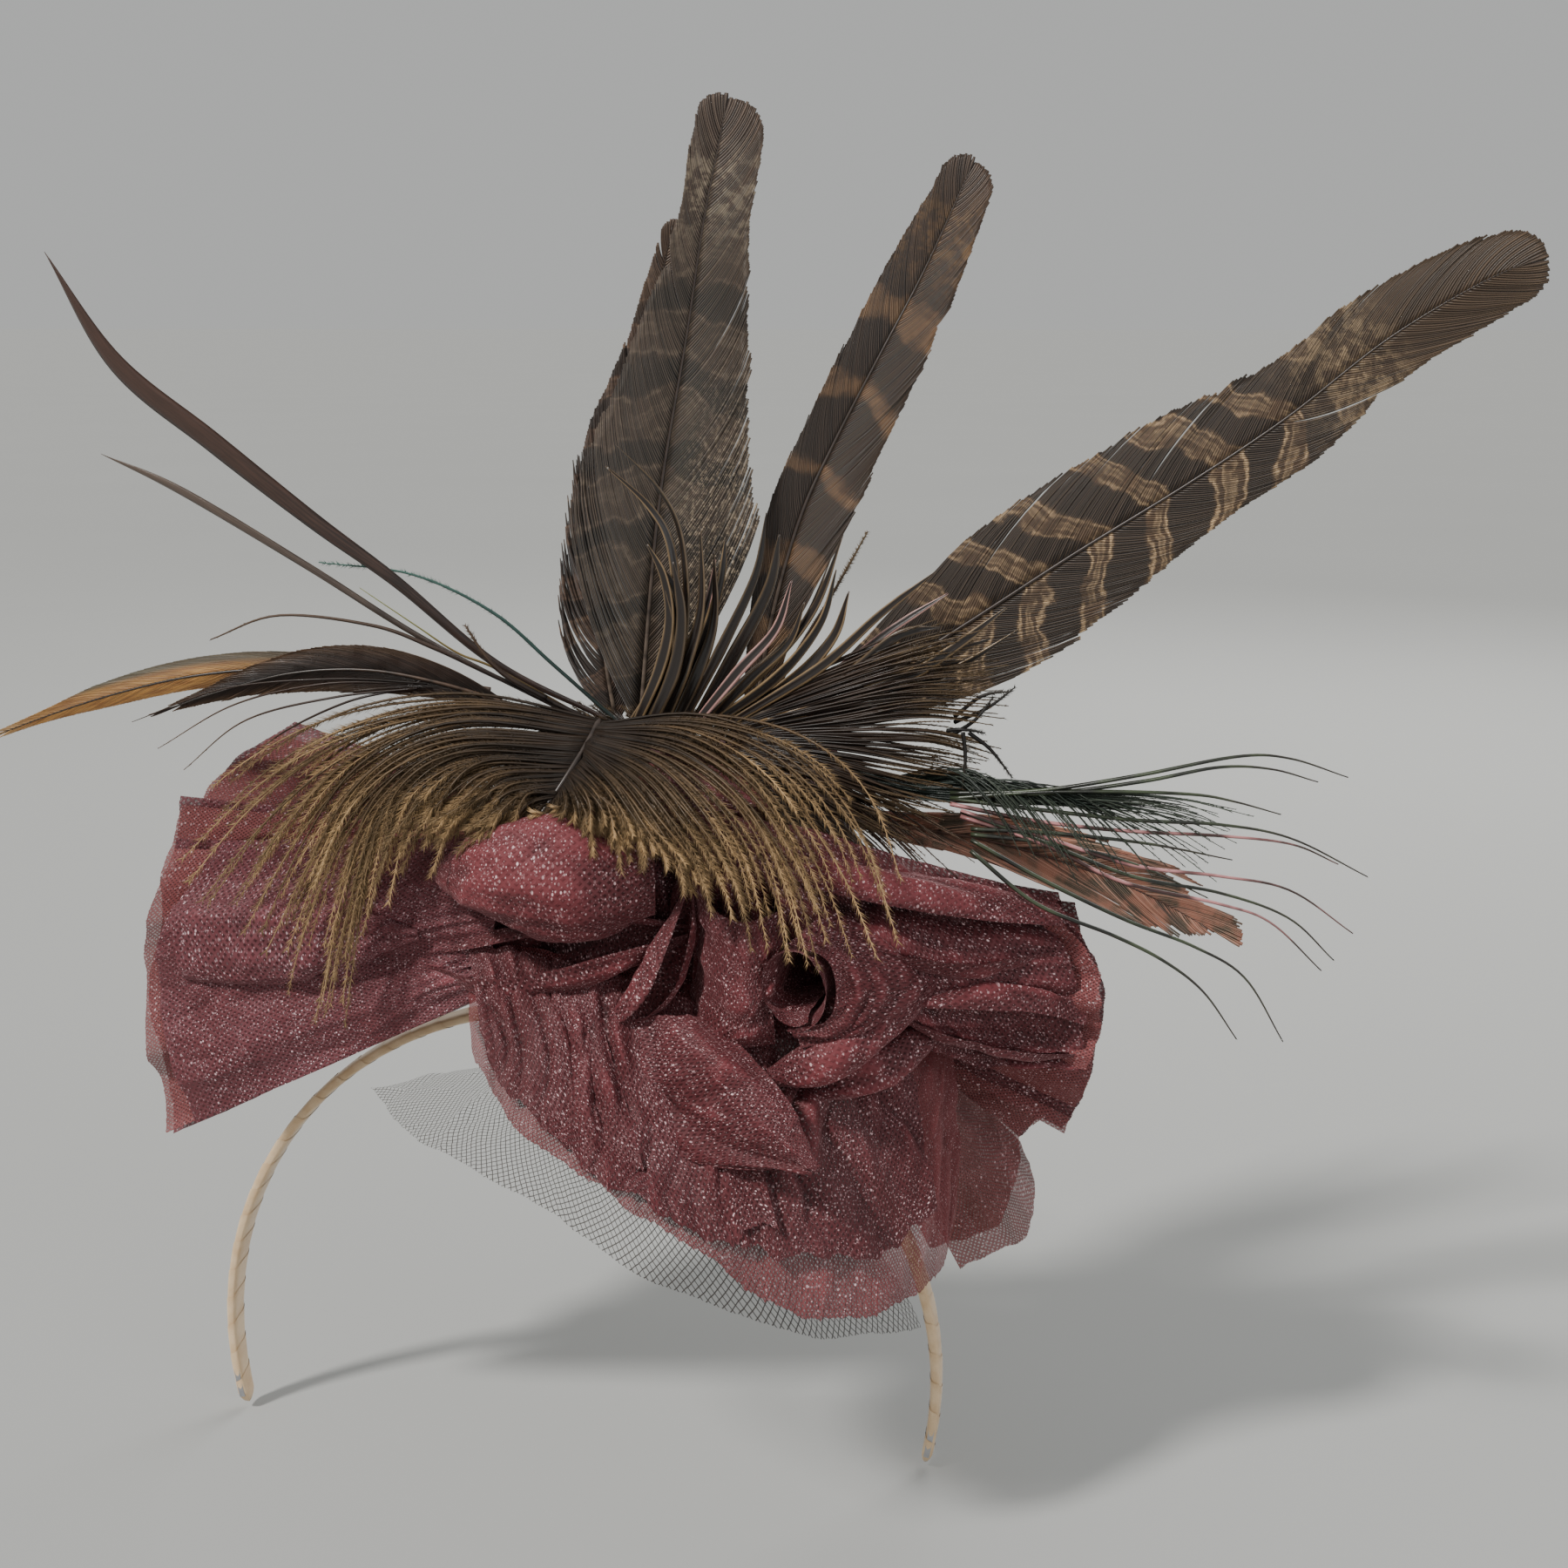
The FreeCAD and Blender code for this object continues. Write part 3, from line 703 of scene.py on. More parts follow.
def barb_bank(build, paths, thick, fuzz, fuzz_from, per_barb, seed, lean=0.9):
    """Round tapering barbs with barbules along both sides, longer towards the tip."""
    r = np.random.default_rng(seed)
    n, m = paths.shape[:2]
    u = np.linspace(0, 1, m)[None, :]
    radius = thick * np.interp(u, [0, 0.5, 1], [1.0, 0.8, 0.25]) * np.ones((n, 1))
    shade = r.random(n)
    tone = np.stack([np.repeat(shade[:, None], m, 1), np.repeat(u, n, 0), np.full((n, m), 0.5)], -1)
    length = np.linalg.norm(np.diff(paths, axis=1), axis=2).sum(1)
    uv = np.stack([u * length[:, None], np.repeat(np.arange(n)[:, None] * 0.5, m, 1)], -1)
    prisms(build, paths, radius, radius, FORWARD, uv, tone, 4)
    if not per_barb:
        return
    tangent, side, normal = side_frames(paths, FORWARD)
    pos = r.uniform(fuzz_from, 1.0, (n, per_barb))
    index = pos * (m - 1)
    i = np.minimum(index.astype(int), m - 2)
    f = (index - i)[..., None]
    rows = np.arange(n)[:, None]
    base = paths[rows, i] * (1 - f) + paths[rows, i + 1] * f
    tang = tangent[rows, i]
    out = side[rows, i] * np.where(r.random((n, per_barb, 1)) < 0.5, -1, 1)
    up = normal[rows, i] * r.normal(0, 0.45, (n, per_barb, 1))
    direction = out + up + tang * lean * r.uniform(0.8, 1.6, (n, per_barb, 1))
    size = fuzz * r.uniform(0.55, 1.15, (n, per_barb)) * np.interp(pos, [0, 0.35, 0.85, 1.0],
                                                                 [0.35, 0.7, 1.0, 0.75])
    where = np.stack([pos * length[:, None], np.repeat(np.arange(n)[:, None] * 0.5, per_barb, 1)], -1)
    tones = np.stack([np.clip(shade[:, None] + r.normal(0, 0.2, (n, per_barb)), 0, 1), pos + 0.08,
                      np.full((n, per_barb), 0.5)], -1)
    needles(build, base.reshape(-1, 3), direction.reshape(-1, 3), size.reshape(-1), 0.075,
            where.reshape(-1, 2), tones.reshape(-1, 3))


def tail_feathers():
    quill = quill_material("quill", (0.16, 0.12, 0.09), (0.04, 0.026, 0.02))
    cream = (0.62, 0.49, 0.34)
    tall = barred_material("tall_vane", (0.055, 0.034, 0.023), (0.018, 0.011, 0.008), cream, 15.0, 0.14,
                           (0.062, 0.036, 0.025), 92.0, ridge_highlight=0.42, flecks=(1.0, 6.0, 90.0),
                           sides=(0.70, 0.88), bar=(0.1, 0.7))
    rear = barred_material("rear_vane", (0.062, 0.036, 0.025), (0.022, 0.014, 0.011), (0.30, 0.19, 0.12),
                           9.5, 0.35, (0.08, 0.05, 0.034), 80.0, ridge_highlight=0.3)
    mid = barred_material("middle_vane", (0.15, 0.085, 0.045), (0.026, 0.017, 0.013), (0.36, 0.21, 0.10),
                          17.0, 0.30, (0.055, 0.034, 0.024), 92.0, ridge_highlight=0.38, sides=(0.75, 1.2),
                          lines=(1.0, 0.5), bar=(-1.05, -0.45))
    long = barred_material("right_vane", (0.080, 0.045, 0.024), (0.020, 0.012, 0.009),
                           (0.60, 0.42, 0.24), 13.5, 0.85, (0.052, 0.030, 0.016), 112.0, slant=0.75,
                           ridge_highlight=0.28, lines=(0.6, 1.0))
    line = points("17.5 -8 134, 20 -6 166, 22 -4 185, 26 -1 210, 29 1 231, 32 3 247, 33 4 254")
    obj = vane_feather("tall_feather_front_barbs", line, (5, 17.5, 15.5, 10, 5, 5.5, 3.0),
                       (5, 19, 17, 12, 8.5, 8, 4.5), [tall, quill], barbs=165, angle=24, seed=5,
                       notches=[(1, 66, 1.1), (-1, 79, 2.6)], fray=(-1, 2.0, 22.0, 0.8))
    finish_piece(obj, "tall_feathers", ["tall_feather_front"])
    line = points("12 -3 134, 9 -1 152, 10 2 170, 12 5 190, 16 8 206, 19 10 222, 21 11 232")
    obj = vane_feather("tall_feather_rear_barbs", line, (5.5, 8.5, 9.5, 8, 5, 3, 1.5),
                       (5, 8.5, 10, 9, 7, 5, 2), [rear, quill],
                       barbs=150, angle=27, seed=8, fray=(-1, 2.0, 40.0, 1.2))
    finish_piece(obj, "tall_feathers", ["tall_feather_rear"])
    line = points("38 0 133, 42 1 157, 47 4 176, 53 7 190, 61 10 206, 69 14 222, 76 17 238, 78 18 243")
    obj = vane_feather("middle_feather_barbs", line, (2, 4.5, 6.5, 6.5, 7, 7, 5, 3),
                       (2, 5, 9, 9, 8.5, 7, 5.5, 3.5), [mid, quill], barbs=165, angle=20, seed=13,
                       notches=[(1, 70.0, 2.0)])
    finish_piece(obj, "middle_feather", ["middle_feather"])
    line = points("46 -6 135, 66 -6 148, 81 -6 158, 100 -6 171, 120 -6 184, 137 -6 196, 154 -6 210, "
                  "170 -6 220, 180 -6 224")
    obj = vane_feather("right_feather_barbs", line, (2, 8, 12, 13.5, 12.5, 10, 8.5, 7, 4.5),
                       (2, 8, 13, 13, 9.5, 9, 7, 7, 4.5), [long, quill], barbs=205, angle=22, seed=21,
                       split=1.2, notches=[(-1, 76, 1.6), (1, 108, 2.4)])
    finish_piece(obj, "right_feather", ["right_feather"])


def spike_material(name, red, black):
    m = Nodes(name, roughness=0.3, Specular_IOR_Level=0.6)
    s, _, vec = m.uv()
    streak = m.noise(vec, 0.9, 3.0, stretch=(0.15, 3.0, 1.0))
    m.bump(m.noise(vec, 5.0, 2.0, stretch=(0.3, 4.0, 1.0)), 0.35, 0.0001)
    fade = m.step(s, 45.0, 120.0)
    col = m.mix(fade, black, red)
    return m.color(m.mix(m.step(streak, 0.3, 0.75, 0.0, 0.6), col, scaled(red, 1.7)))


def herl(name, paths, thick, fuzz, per_barb, material, body, nodes=(), seed=30, fuzz_from=0.05,
         lean=0.9):
    build = Builder()
    barb_bank(build, np.asarray(paths, float), thick, fuzz, fuzz_from, per_barb, seed, lean=lean)
    return finish_piece(build.make(name, [material]), body, nodes)


def left_spray():
    dark = spike_material("spike_vane", (0.045, 0.022, 0.015), (0.010, 0.007, 0.006))
    grey_brown = spike_material("short_spike_vane", (0.085, 0.060, 0.045), (0.014, 0.009, 0.008))
    line = points("20 -12 135, 8 -13 140.5, -10 -13 149, -29 -13 164, -45 -13 175, -65 -13 190, "
                  "-84 -13 205, -97 -13 226")
    obj = blade("long_spike_blade", line, (0.5, 0.5, 0.8, 1.0, 1.3, 1.8, 1.6, 0.06),
                (0.5, 0.5, 0.9, 1.3, 1.9, 2.5, 2.2, 0.06), 0.7, dark)
    finish_piece(obj, "left_spray", ["long_spike"])
    line = points("20 -14 133, 0 -17 143, -23 -17 154, -45 -17 167, -70 -17 181, -86 -17 188")
    obj = blade("short_spike_blade", line, (0.4, 0.4, 0.5, 0.6, 0.7, 0.05),
                (0.4, 0.4, 0.6, 0.8, 1.0, 0.05), 0.6, grey_brown)
    finish_piece(obj, "left_spray", ["short_spike"])
    green = plume_material("green_herl_barbs", (0.012, 0.02, 0.018), (0.02, 0.05, 0.042), (0.04, 0.10, 0.08))
    brown = plume_material("brown_herl_barbs", (0.02, 0.013, 0.01), (0.05, 0.03, 0.02), (0.10, 0.06, 0.035))
    lime = plume_material("lime_herl_barbs", (0.10, 0.06, 0.02), (0.30, 0.20, 0.05), (0.42, 0.44, 0.12))
    line = curve(points("15 -9 136, 1 -9 148, -11 -9 158, -27 -9 165, -46 -9 167"), 40)
    herl("green_herl_strand", [line], 0.42, 1.3, 420, green, "left_spray", ["green_herl"], 31)
    line = curve(points("12 -16 138, -8 -18 147, -19 -20.5 152.5, -31 -20.5 156.5, -50 -20.5 158, "
                        "-64 -20.5 153"), 40)
    herl("brown_herl_strand", [line], 0.5, 0.8, 380, brown, "left_spray", ["brown_herl"], 33,
         lean=2.0)
    line = curve(points("8 -14 139, -8 -16 148, -16 -16 151, -24 -16 156, -35 -16 163"), 30)
    herl("lime_strand", [line], 0.28, 0.5, 90, lime, "left_spray", (), 34, lean=2.0)
    line = curve(points("2 -18 143, -5 -19 147, -9 -20 151, -13 -20 157"), 24)
    herl("short_fuzzy_stub", [line], 0.6, 1.2, 260, brown, "left_spray", (), 35)


def golden_material():
    m = Nodes("golden_vane", roughness=0.42, Sheen_Weight=0.2)
    s, w, vec = m.uv()
    barb, _, ridge = m.tone()
    streak = m.noise(vec, 0.6, 3.0, stretch=(0.3, 2.5, 1.0))
    gold = m.mix(m.step(streak, 0.3, 0.7), (0.34, 0.13, 0.02), (0.58, 0.30, 0.07))
    gold = m.mix(m.step(s, 22.0, 62.0), (0.10, 0.05, 0.02), gold)
    gold = m.mix(m.step(s, 92.0, 112.0), gold, (0.55, 0.42, 0.26))
    under = m.mix(m.step(s, 40.0, 110.0), (0.05, 0.05, 0.04), (0.16, 0.17, 0.13))
    col = m.mix(m.step(w, 2.6, 1.4), under, gold)
    # painted highlight: the ridge of each barb is lightened
    col = m.mix(m.mul(ridge, 0.35), col, (0.70, 0.48, 0.22))
    m.bump(streak, 0.2, 0.0001)
    return m.color(m.mix(m.step(barb, 0.0, 1.0, 0.4, 0.0), col, (0.05, 0.025, 0.012)))


def left_feathers():
    quill = quill_material("dark_quill", (0.10, 0.06, 0.04), (0.03, 0.02, 0.015))
    line = points("-8 -21 145, -31 -23 148, -51 -23 148, -68 -23 146, -84 -23 142, -99 -23 137, "
                  "-116 -23 130.5")
    obj = vane_feather("golden_feather_barbs", line, (0.8, 1.8, 2.6, 2.6, 2.2, 1.0, 0.4),
                       (0.8, 2.4, 3.4, 3.4, 2.8, 1.2, 0.4), [golden_material(), quill], barbs=120, angle=10,
                       seed=41, camber=1.5, shaft_w=0.45, split=0.5)
    finish_piece(obj, "left_feathers", ["golden_feather"])
    dark = plume_material("dark_vane", (0.018, 0.011, 0.008), (0.035, 0.020, 0.014), (0.09, 0.052, 0.03),
                          roughness=0.35)
    line = points("-2 -26 143, -16 -27 147, -30 -27 149, -45 -27 148, -60 -27 144, -74 -27 139")
    obj = vane_feather("dark_feather_barbs", line, (0.8, 3.0, 4.2, 3.6, 1.8, 0.15),
                       (0.8, 3.5, 4.5, 3.8, 1.8, 0.15), [dark, quill],
                       barbs=120, angle=12, seed=43, camber=2.0, shaft_w=0.45)
    finish_piece(obj, "left_feathers", ["dark_feather_left"])
    hairs = points("""
        -20 -28 147, -38 -29 146.5, -56 -29 142, -72 -29 133 /
        -20 -28 146, -36 -29 144, -54 -29 139, -67 -29 129 /
        -22 -28 146, -34 -29 143, -48 -29 136, -58 -29 127 /
        -18 -28 147, -36 -29 147.5, -58 -29 145, -77 -29 138""")
    herl("dark_feather_hairs", [curve(h, 30) for h in hairs], 0.26, 0.6, 70, dark, "left_feathers",
         (), 47, lean=2.5)


def plumage():
    gold = plume_material("almond_barbs", (0.020, 0.012, 0.007), (0.098, 0.060, 0.028), (0.36, 0.235, 0.115),
                          start=0.55)
    quill = quill_material("plume_quill", (0.05, 0.035, 0.028), (0.03, 0.02, 0.016))
    left_keys = points("""
        16.5 -28.3 141, -8 -30 144.5, -30 -33 141, -48 -36 131, -64 -38 116 /
        15.5 -30.2 139.5, -10 -32 141, -30 -36 133, -44 -38 119, -55 -40 102 /
        14.5 -32.2 138, -11 -35 138, -27 -39 129, -37 -41 113, -45 -42 95 /
        14 -33.3 137, -10 -37 136, -24 -41 126, -31 -43 106, -36 -44 84 /
        13.5 -34.5 136, -8 -37 135.5, -20 -41 128, -25 -43 114, -28 -44 99 /
        13 -35.5 134.5, -4 -38 134, -12 -42 129, -16 -44 123, -20 -45 117 /
        12.5 -37 133, 0 -40 132, -5 -43 128, -9 -44 124, -12 -45 120 /
        11.5 -38.5 131, 3 -41 130, 0 -43 127, -3 -45 123, -5 -46 120 /
        10 -40 129, 6 -42 128, 4 -44 126, 2.5 -45 124, 1.5 -46 122""")
    paths = cut_lengths(spread(left_keys, 160, 2.3, 51, bunch=0.85), 0.62, 1.06, 52)
    herl("plume_left_barbs", paths, 0.30, 2.5, 215, gold, "root", ["plume_left"], 53,
         fuzz_from=0.10, lean=1.5)
    right_keys = points("""
        16 -30 141, 36 -36 144, 54 -44 141, 67 -50 130, 75 -54 110 /
        15 -31 140, 34 -40 141, 49 -48 135, 59 -53 123, 65 -56 110 /
        15 -32 139, 32 -43 138, 45 -51 131, 53 -56 120, 57 -58 104 /
        14 -34 138, 28 -45 136, 38 -53 129, 44 -56 121, 47 -57 111 /
        14 -35 137, 25 -46 134, 33 -53 128, 38 -55 122.5, 40 -56 118 /
        14 -36 135.5, 22 -45 132.5, 27 -50 128, 29.5 -52 124.5, 31 -53 121.5 /
        12 -38 133, 17 -44.5 131, 20 -47 128.5, 21.5 -48.5 126, 22.5 -49.5 123.5 /
        11 -39 131, 13 -43.5 129.5, 14 -45.5 127.5, 14.5 -46.5 125.5, 14.5 -47 124 /
        9 -40 128, 9 -43 127, 8.5 -44.5 125.5, 8 -45.5 124, 7.5 -46 122.5""")
    paths = cut_lengths(spread(right_keys, 160, 1.9, 55, bunch=0.85, bias=1.35), 0.62, 1.06, 56)
    herl("plume_right_barbs", paths, 0.28, 2.3, 205, gold, "root", ["plume_right"], 57,
         fuzz_from=0.15, lean=1.5)
    inner = points("""
        24 -24 139, 16 -27 139.5, 6 -28 139, -3 -29 136 /
        24 -26 136, 15 -30 135.5, 6 -33 134, -2 -35 130 /
        23 -28 133, 14 -33 132, 6 -37 130, 0 -39 126 /
        22 -30 130, 14 -36 128.5, 8 -39 126, 3 -41 122""")
    dark = plume_material("plume_down", (0.014, 0.009, 0.006), (0.03, 0.019, 0.011), (0.06, 0.04, 0.02))
    herl("plume_under_down", spread(inner, 70, 1.0, 58), 0.42, 1.3, 60, dark, "root", (), 59)
    build = Builder()
    path = curve(points("15 -28 141, 14 -32 138, 11 -38 132, 7 -42 125.5"), 30)[None]
    radius = np.interp(np.linspace(0, 1, 30), [0, 1], [0.8, 0.35])[None]
    uv = np.stack([np.linspace(0, 20, 30), np.zeros(30)], -1)[None]
    prisms(build, path, radius, radius, FORWARD, uv, np.full((1, 30, 3), 0.5), 8)
    finish_piece(build.make("plume_quill_shaft", [quill]), "root", ["plume_shaft"])


def strap_material(name, edge, middle):
    """Flat glossy strands: dark in the middle, paler along both edges."""
    m = Nodes(name, roughness=0.3, Specular_IOR_Level=0.6)
    _, w, vec = m.uv()
    barb = m.tone()[0]
    rim = m.step(m.size(w), 0.45, 0.9)
    fibre = m.noise(vec, 1.2, 3.0, stretch=(0.2, 4.0, 1.0))
    pale = m.mix(m.step(barb, 0.86, 0.9), edge, (0.70, 0.38, 0.34))
    col = m.mix(m.mul(rim, m.step(barb, 0.2, 0.7, 0.35, 1.0)), middle, pale)
    m.bump(fibre, 0.4, 0.0001)
    return m.color(m.mix(m.step(fibre, 0.35, 0.75, 0.0, 0.4), col, scaled(middle, 0.4)))


def straps(build, lines, width, thick, seed):
    """Flat curled strands with a shallow channel along the middle."""
    r = np.random.default_rng(seed)
    m = 44
    for line in lines:
        path = curve(line, m)
        tangent = unit(np.gradient(path, axis=0))
        turn = r.uniform(-0.7, 0.7) + np.linspace(0, r.uniform(-1.0, 1.0), m)
        facing = np.stack([np.sin(turn), -np.cos(turn), 0.2 * np.ones(m)], -1)
        side = unit(np.cross(tangent, facing))
        normal = np.cross(side, tangent)
        u = np.linspace(0, 1, m)
        half = width * r.uniform(0.75, 1.15) * np.interp(u, [0, 0.3, 0.8, 1], [0.75, 1.0, 0.6, 0.12])
        profile = [(-1, 0.1), (-0.75, 1.0), (-0.25, 0.35), (0.25, 0.35), (0.75, 1.0), (1, 0.1), (0.7, -0.8),
                   (-0.7, -0.8)]
        n = len(profile)
        deep = thick * np.minimum(1, half)
        verts = np.stack([path + side * (half * a)[:, None] + normal * (deep * b)[:, None]
                          for a, b in profile], 1)
        dist = travel(path)
        uv = np.stack([np.stack([dist, np.full(m, a)], -1) for a, b in profile], 1)
        tone = np.repeat(np.stack([np.full(m, r.random()), u, np.zeros(m)], -1), n, axis=0)
        quads, caps = loft_faces(m, n)
        start = build.count
        build.add(verts, quads, uv, tone)
        build.faces.append(caps + start)
        build.mats.append(np.zeros(2, int))


def front_herls():
    strap = strap_material("curled_strands", (0.26, 0.17, 0.085), (0.013, 0.008, 0.006))
    lines = points("""
        20 -21 139, 25 -22 150, 27 -22 159, 26 -22 167, 23 -22 173 /
        21 -20 139, 28 -21 151, 30 -21 162, 29 -21 175, 25 -21 183, 17 -21 191 /
        25 -21 139, 30 -22 151, 33 -22 162, 33 -22 176 /
        23 -22 139, 28 -23 150, 29.5 -23 160, 28 -23 170 /
        29 -20 140, 37 -21 155, 43 -21 168, 45 -21 179 /
        33 -20 140, 46 -21 152, 54 -21 162, 59 -21 175 /
        35 -21 140, 47 -22 149, 55 -22 159, 58 -22 169 /
        27 -19 140, 33 -19 156, 36 -19 166, 37 -19 174 /
        38 -21 140, 55 -22 151, 66 -22 161, 76 -22 169 /
        41 -21 140, 58 -22 148, 69 -22 157, 77 -22 159 /
        44 -22 140, 69 -23 149, 79 -23 155, 89 -23 163 /
        44 -20 140, 64 -21 147, 76 -21 153, 86 -21 157 /
        31 -22 139, 40 -23 150, 47 -23 158, 50 -23 167""")
    build = Builder()
    lines = lines + [[(x + 2.2 - 4.4 * (k % 2), y + 1.2, z - 4.0 * (i / (len(line) - 1))) for i, (x, y, z) in
                      enumerate(line)] for k, line in enumerate(lines)]
    straps(build, lines, 1.25, 0.32, 71)
    finish_piece(build.make("curled_herl_strands", [strap]), "root", ["curled_herls"])
    brown = plume_material("swept_barbs", (0.012, 0.007, 0.005), (0.026, 0.015, 0.009), (0.085, 0.055, 0.028),
                           start=0.62, roughness=0.38)
    keys = points("""
        34 -19 140, 52 -21 149, 68 -22 156, 80 -22 160 /
        36 -20 139, 55 -22 147, 72 -23 153, 86 -23 156 /
        38 -21 139, 58 -23 145, 74 -24 149, 89 -24 150 /
        39 -21 138, 58 -24 142, 74 -25 145, 90 -25 144 /
        40 -22 138, 60 -25 139, 76 -26 139, 89 -26 136 /
        41 -23 137, 60 -26 136, 73 -27 134, 86 -27 132 /
        40 -24 136, 55 -28 133, 67 -29 129, 80 -30 126 /
        38 -25 135, 50 -29 131, 60 -31 126, 71 -32 121""")
    paths = cut_lengths(spread(keys, 150, 1.3, 73, bunch=0.4), 0.75, 1.0, 74)
    herl("swept_herl_barbs", paths, 0.30, 0.9, 110, brown, "root", ["swept_herls"], 75,
         fuzz_from=0.3, lean=2.2)
    keys = points("""
        48 -20 136, 60 -24 132, 72 -27 127, 84 -29 121 /
        46 -21 135, 58 -26 129, 69 -29 122, 79 -31 113 /
        44 -22 133, 55 -27 126, 64 -30 118, 71 -31 108 /
        42 -23 131, 50 -28 123, 57 -30 115, 62 -31 106""")
    under = plume_material("under_barbs", (0.014, 0.009, 0.007), (0.030, 0.019, 0.013), (0.075, 0.045, 0.028))
    paths = cut_lengths(spread(keys, 85, 1.8, 95, bunch=0.5), 0.6, 1.0, 96)
    herl("swept_under_barbs", paths, 0.26, 0.9, 60, under, "root", (), 97,
         fuzz_from=0.3, lean=2.2)
    line = curve(points("46 -17 146, 50 -17 153, 56 -17 163, 63 -17 175.5"), 40)
    herl("fuzzy_stick_strand", [line], 0.45, 0.85, 900, brown, "root", ["fuzzy_stick"], 77,
         lean=0.4)
    r = np.random.default_rng(91)
    around, out = r.uniform(0, 2 * math.pi, 170), r.uniform(0.3, 1.0, 170)
    tuft = []
    for turn, far in zip(around, out):
        x, y = 27 + 22 * far * math.cos(turn), -11 + 10 * far * math.sin(turn)
        dx, dy = 5 * math.cos(turn) * far, 4 * math.sin(turn) * far
        tuft.append(curve([(x, y, 135), (x + dx, y + dy, 138), (x + 2 * dx, y + 2.5 * dy, 139.5)], 16))
    herl("pad_down_tuft", tuft, 0.3, 1.2, 60, brown, "root", (), 93, lean=1.5)
    bristle = plume_material("dark_bristles", (0.008, 0.007, 0.006), (0.014, 0.011, 0.009),
                             (0.03, 0.025, 0.018))
    tufts = points("""
        80 -24 143, 85 -24 147, 90 -24 148 /
        80 -24 142, 86 -25 145, 91 -25 149 /
        82 -28 141, 82.5 -28 136, 82 -28 130 /
        79 -27 141, 82 -28 141.5, 86 -28 141 /
        83 -28 141, 87 -28 138, 91 -28 133 /
        80 -25 140, 84 -26 143, 87 -25 147""")
    herl("bristle_tufts", [curve(t, 24) for t in tufts], 0.4, 0.9, 140, bristle, "right_spray",
         (), 79)


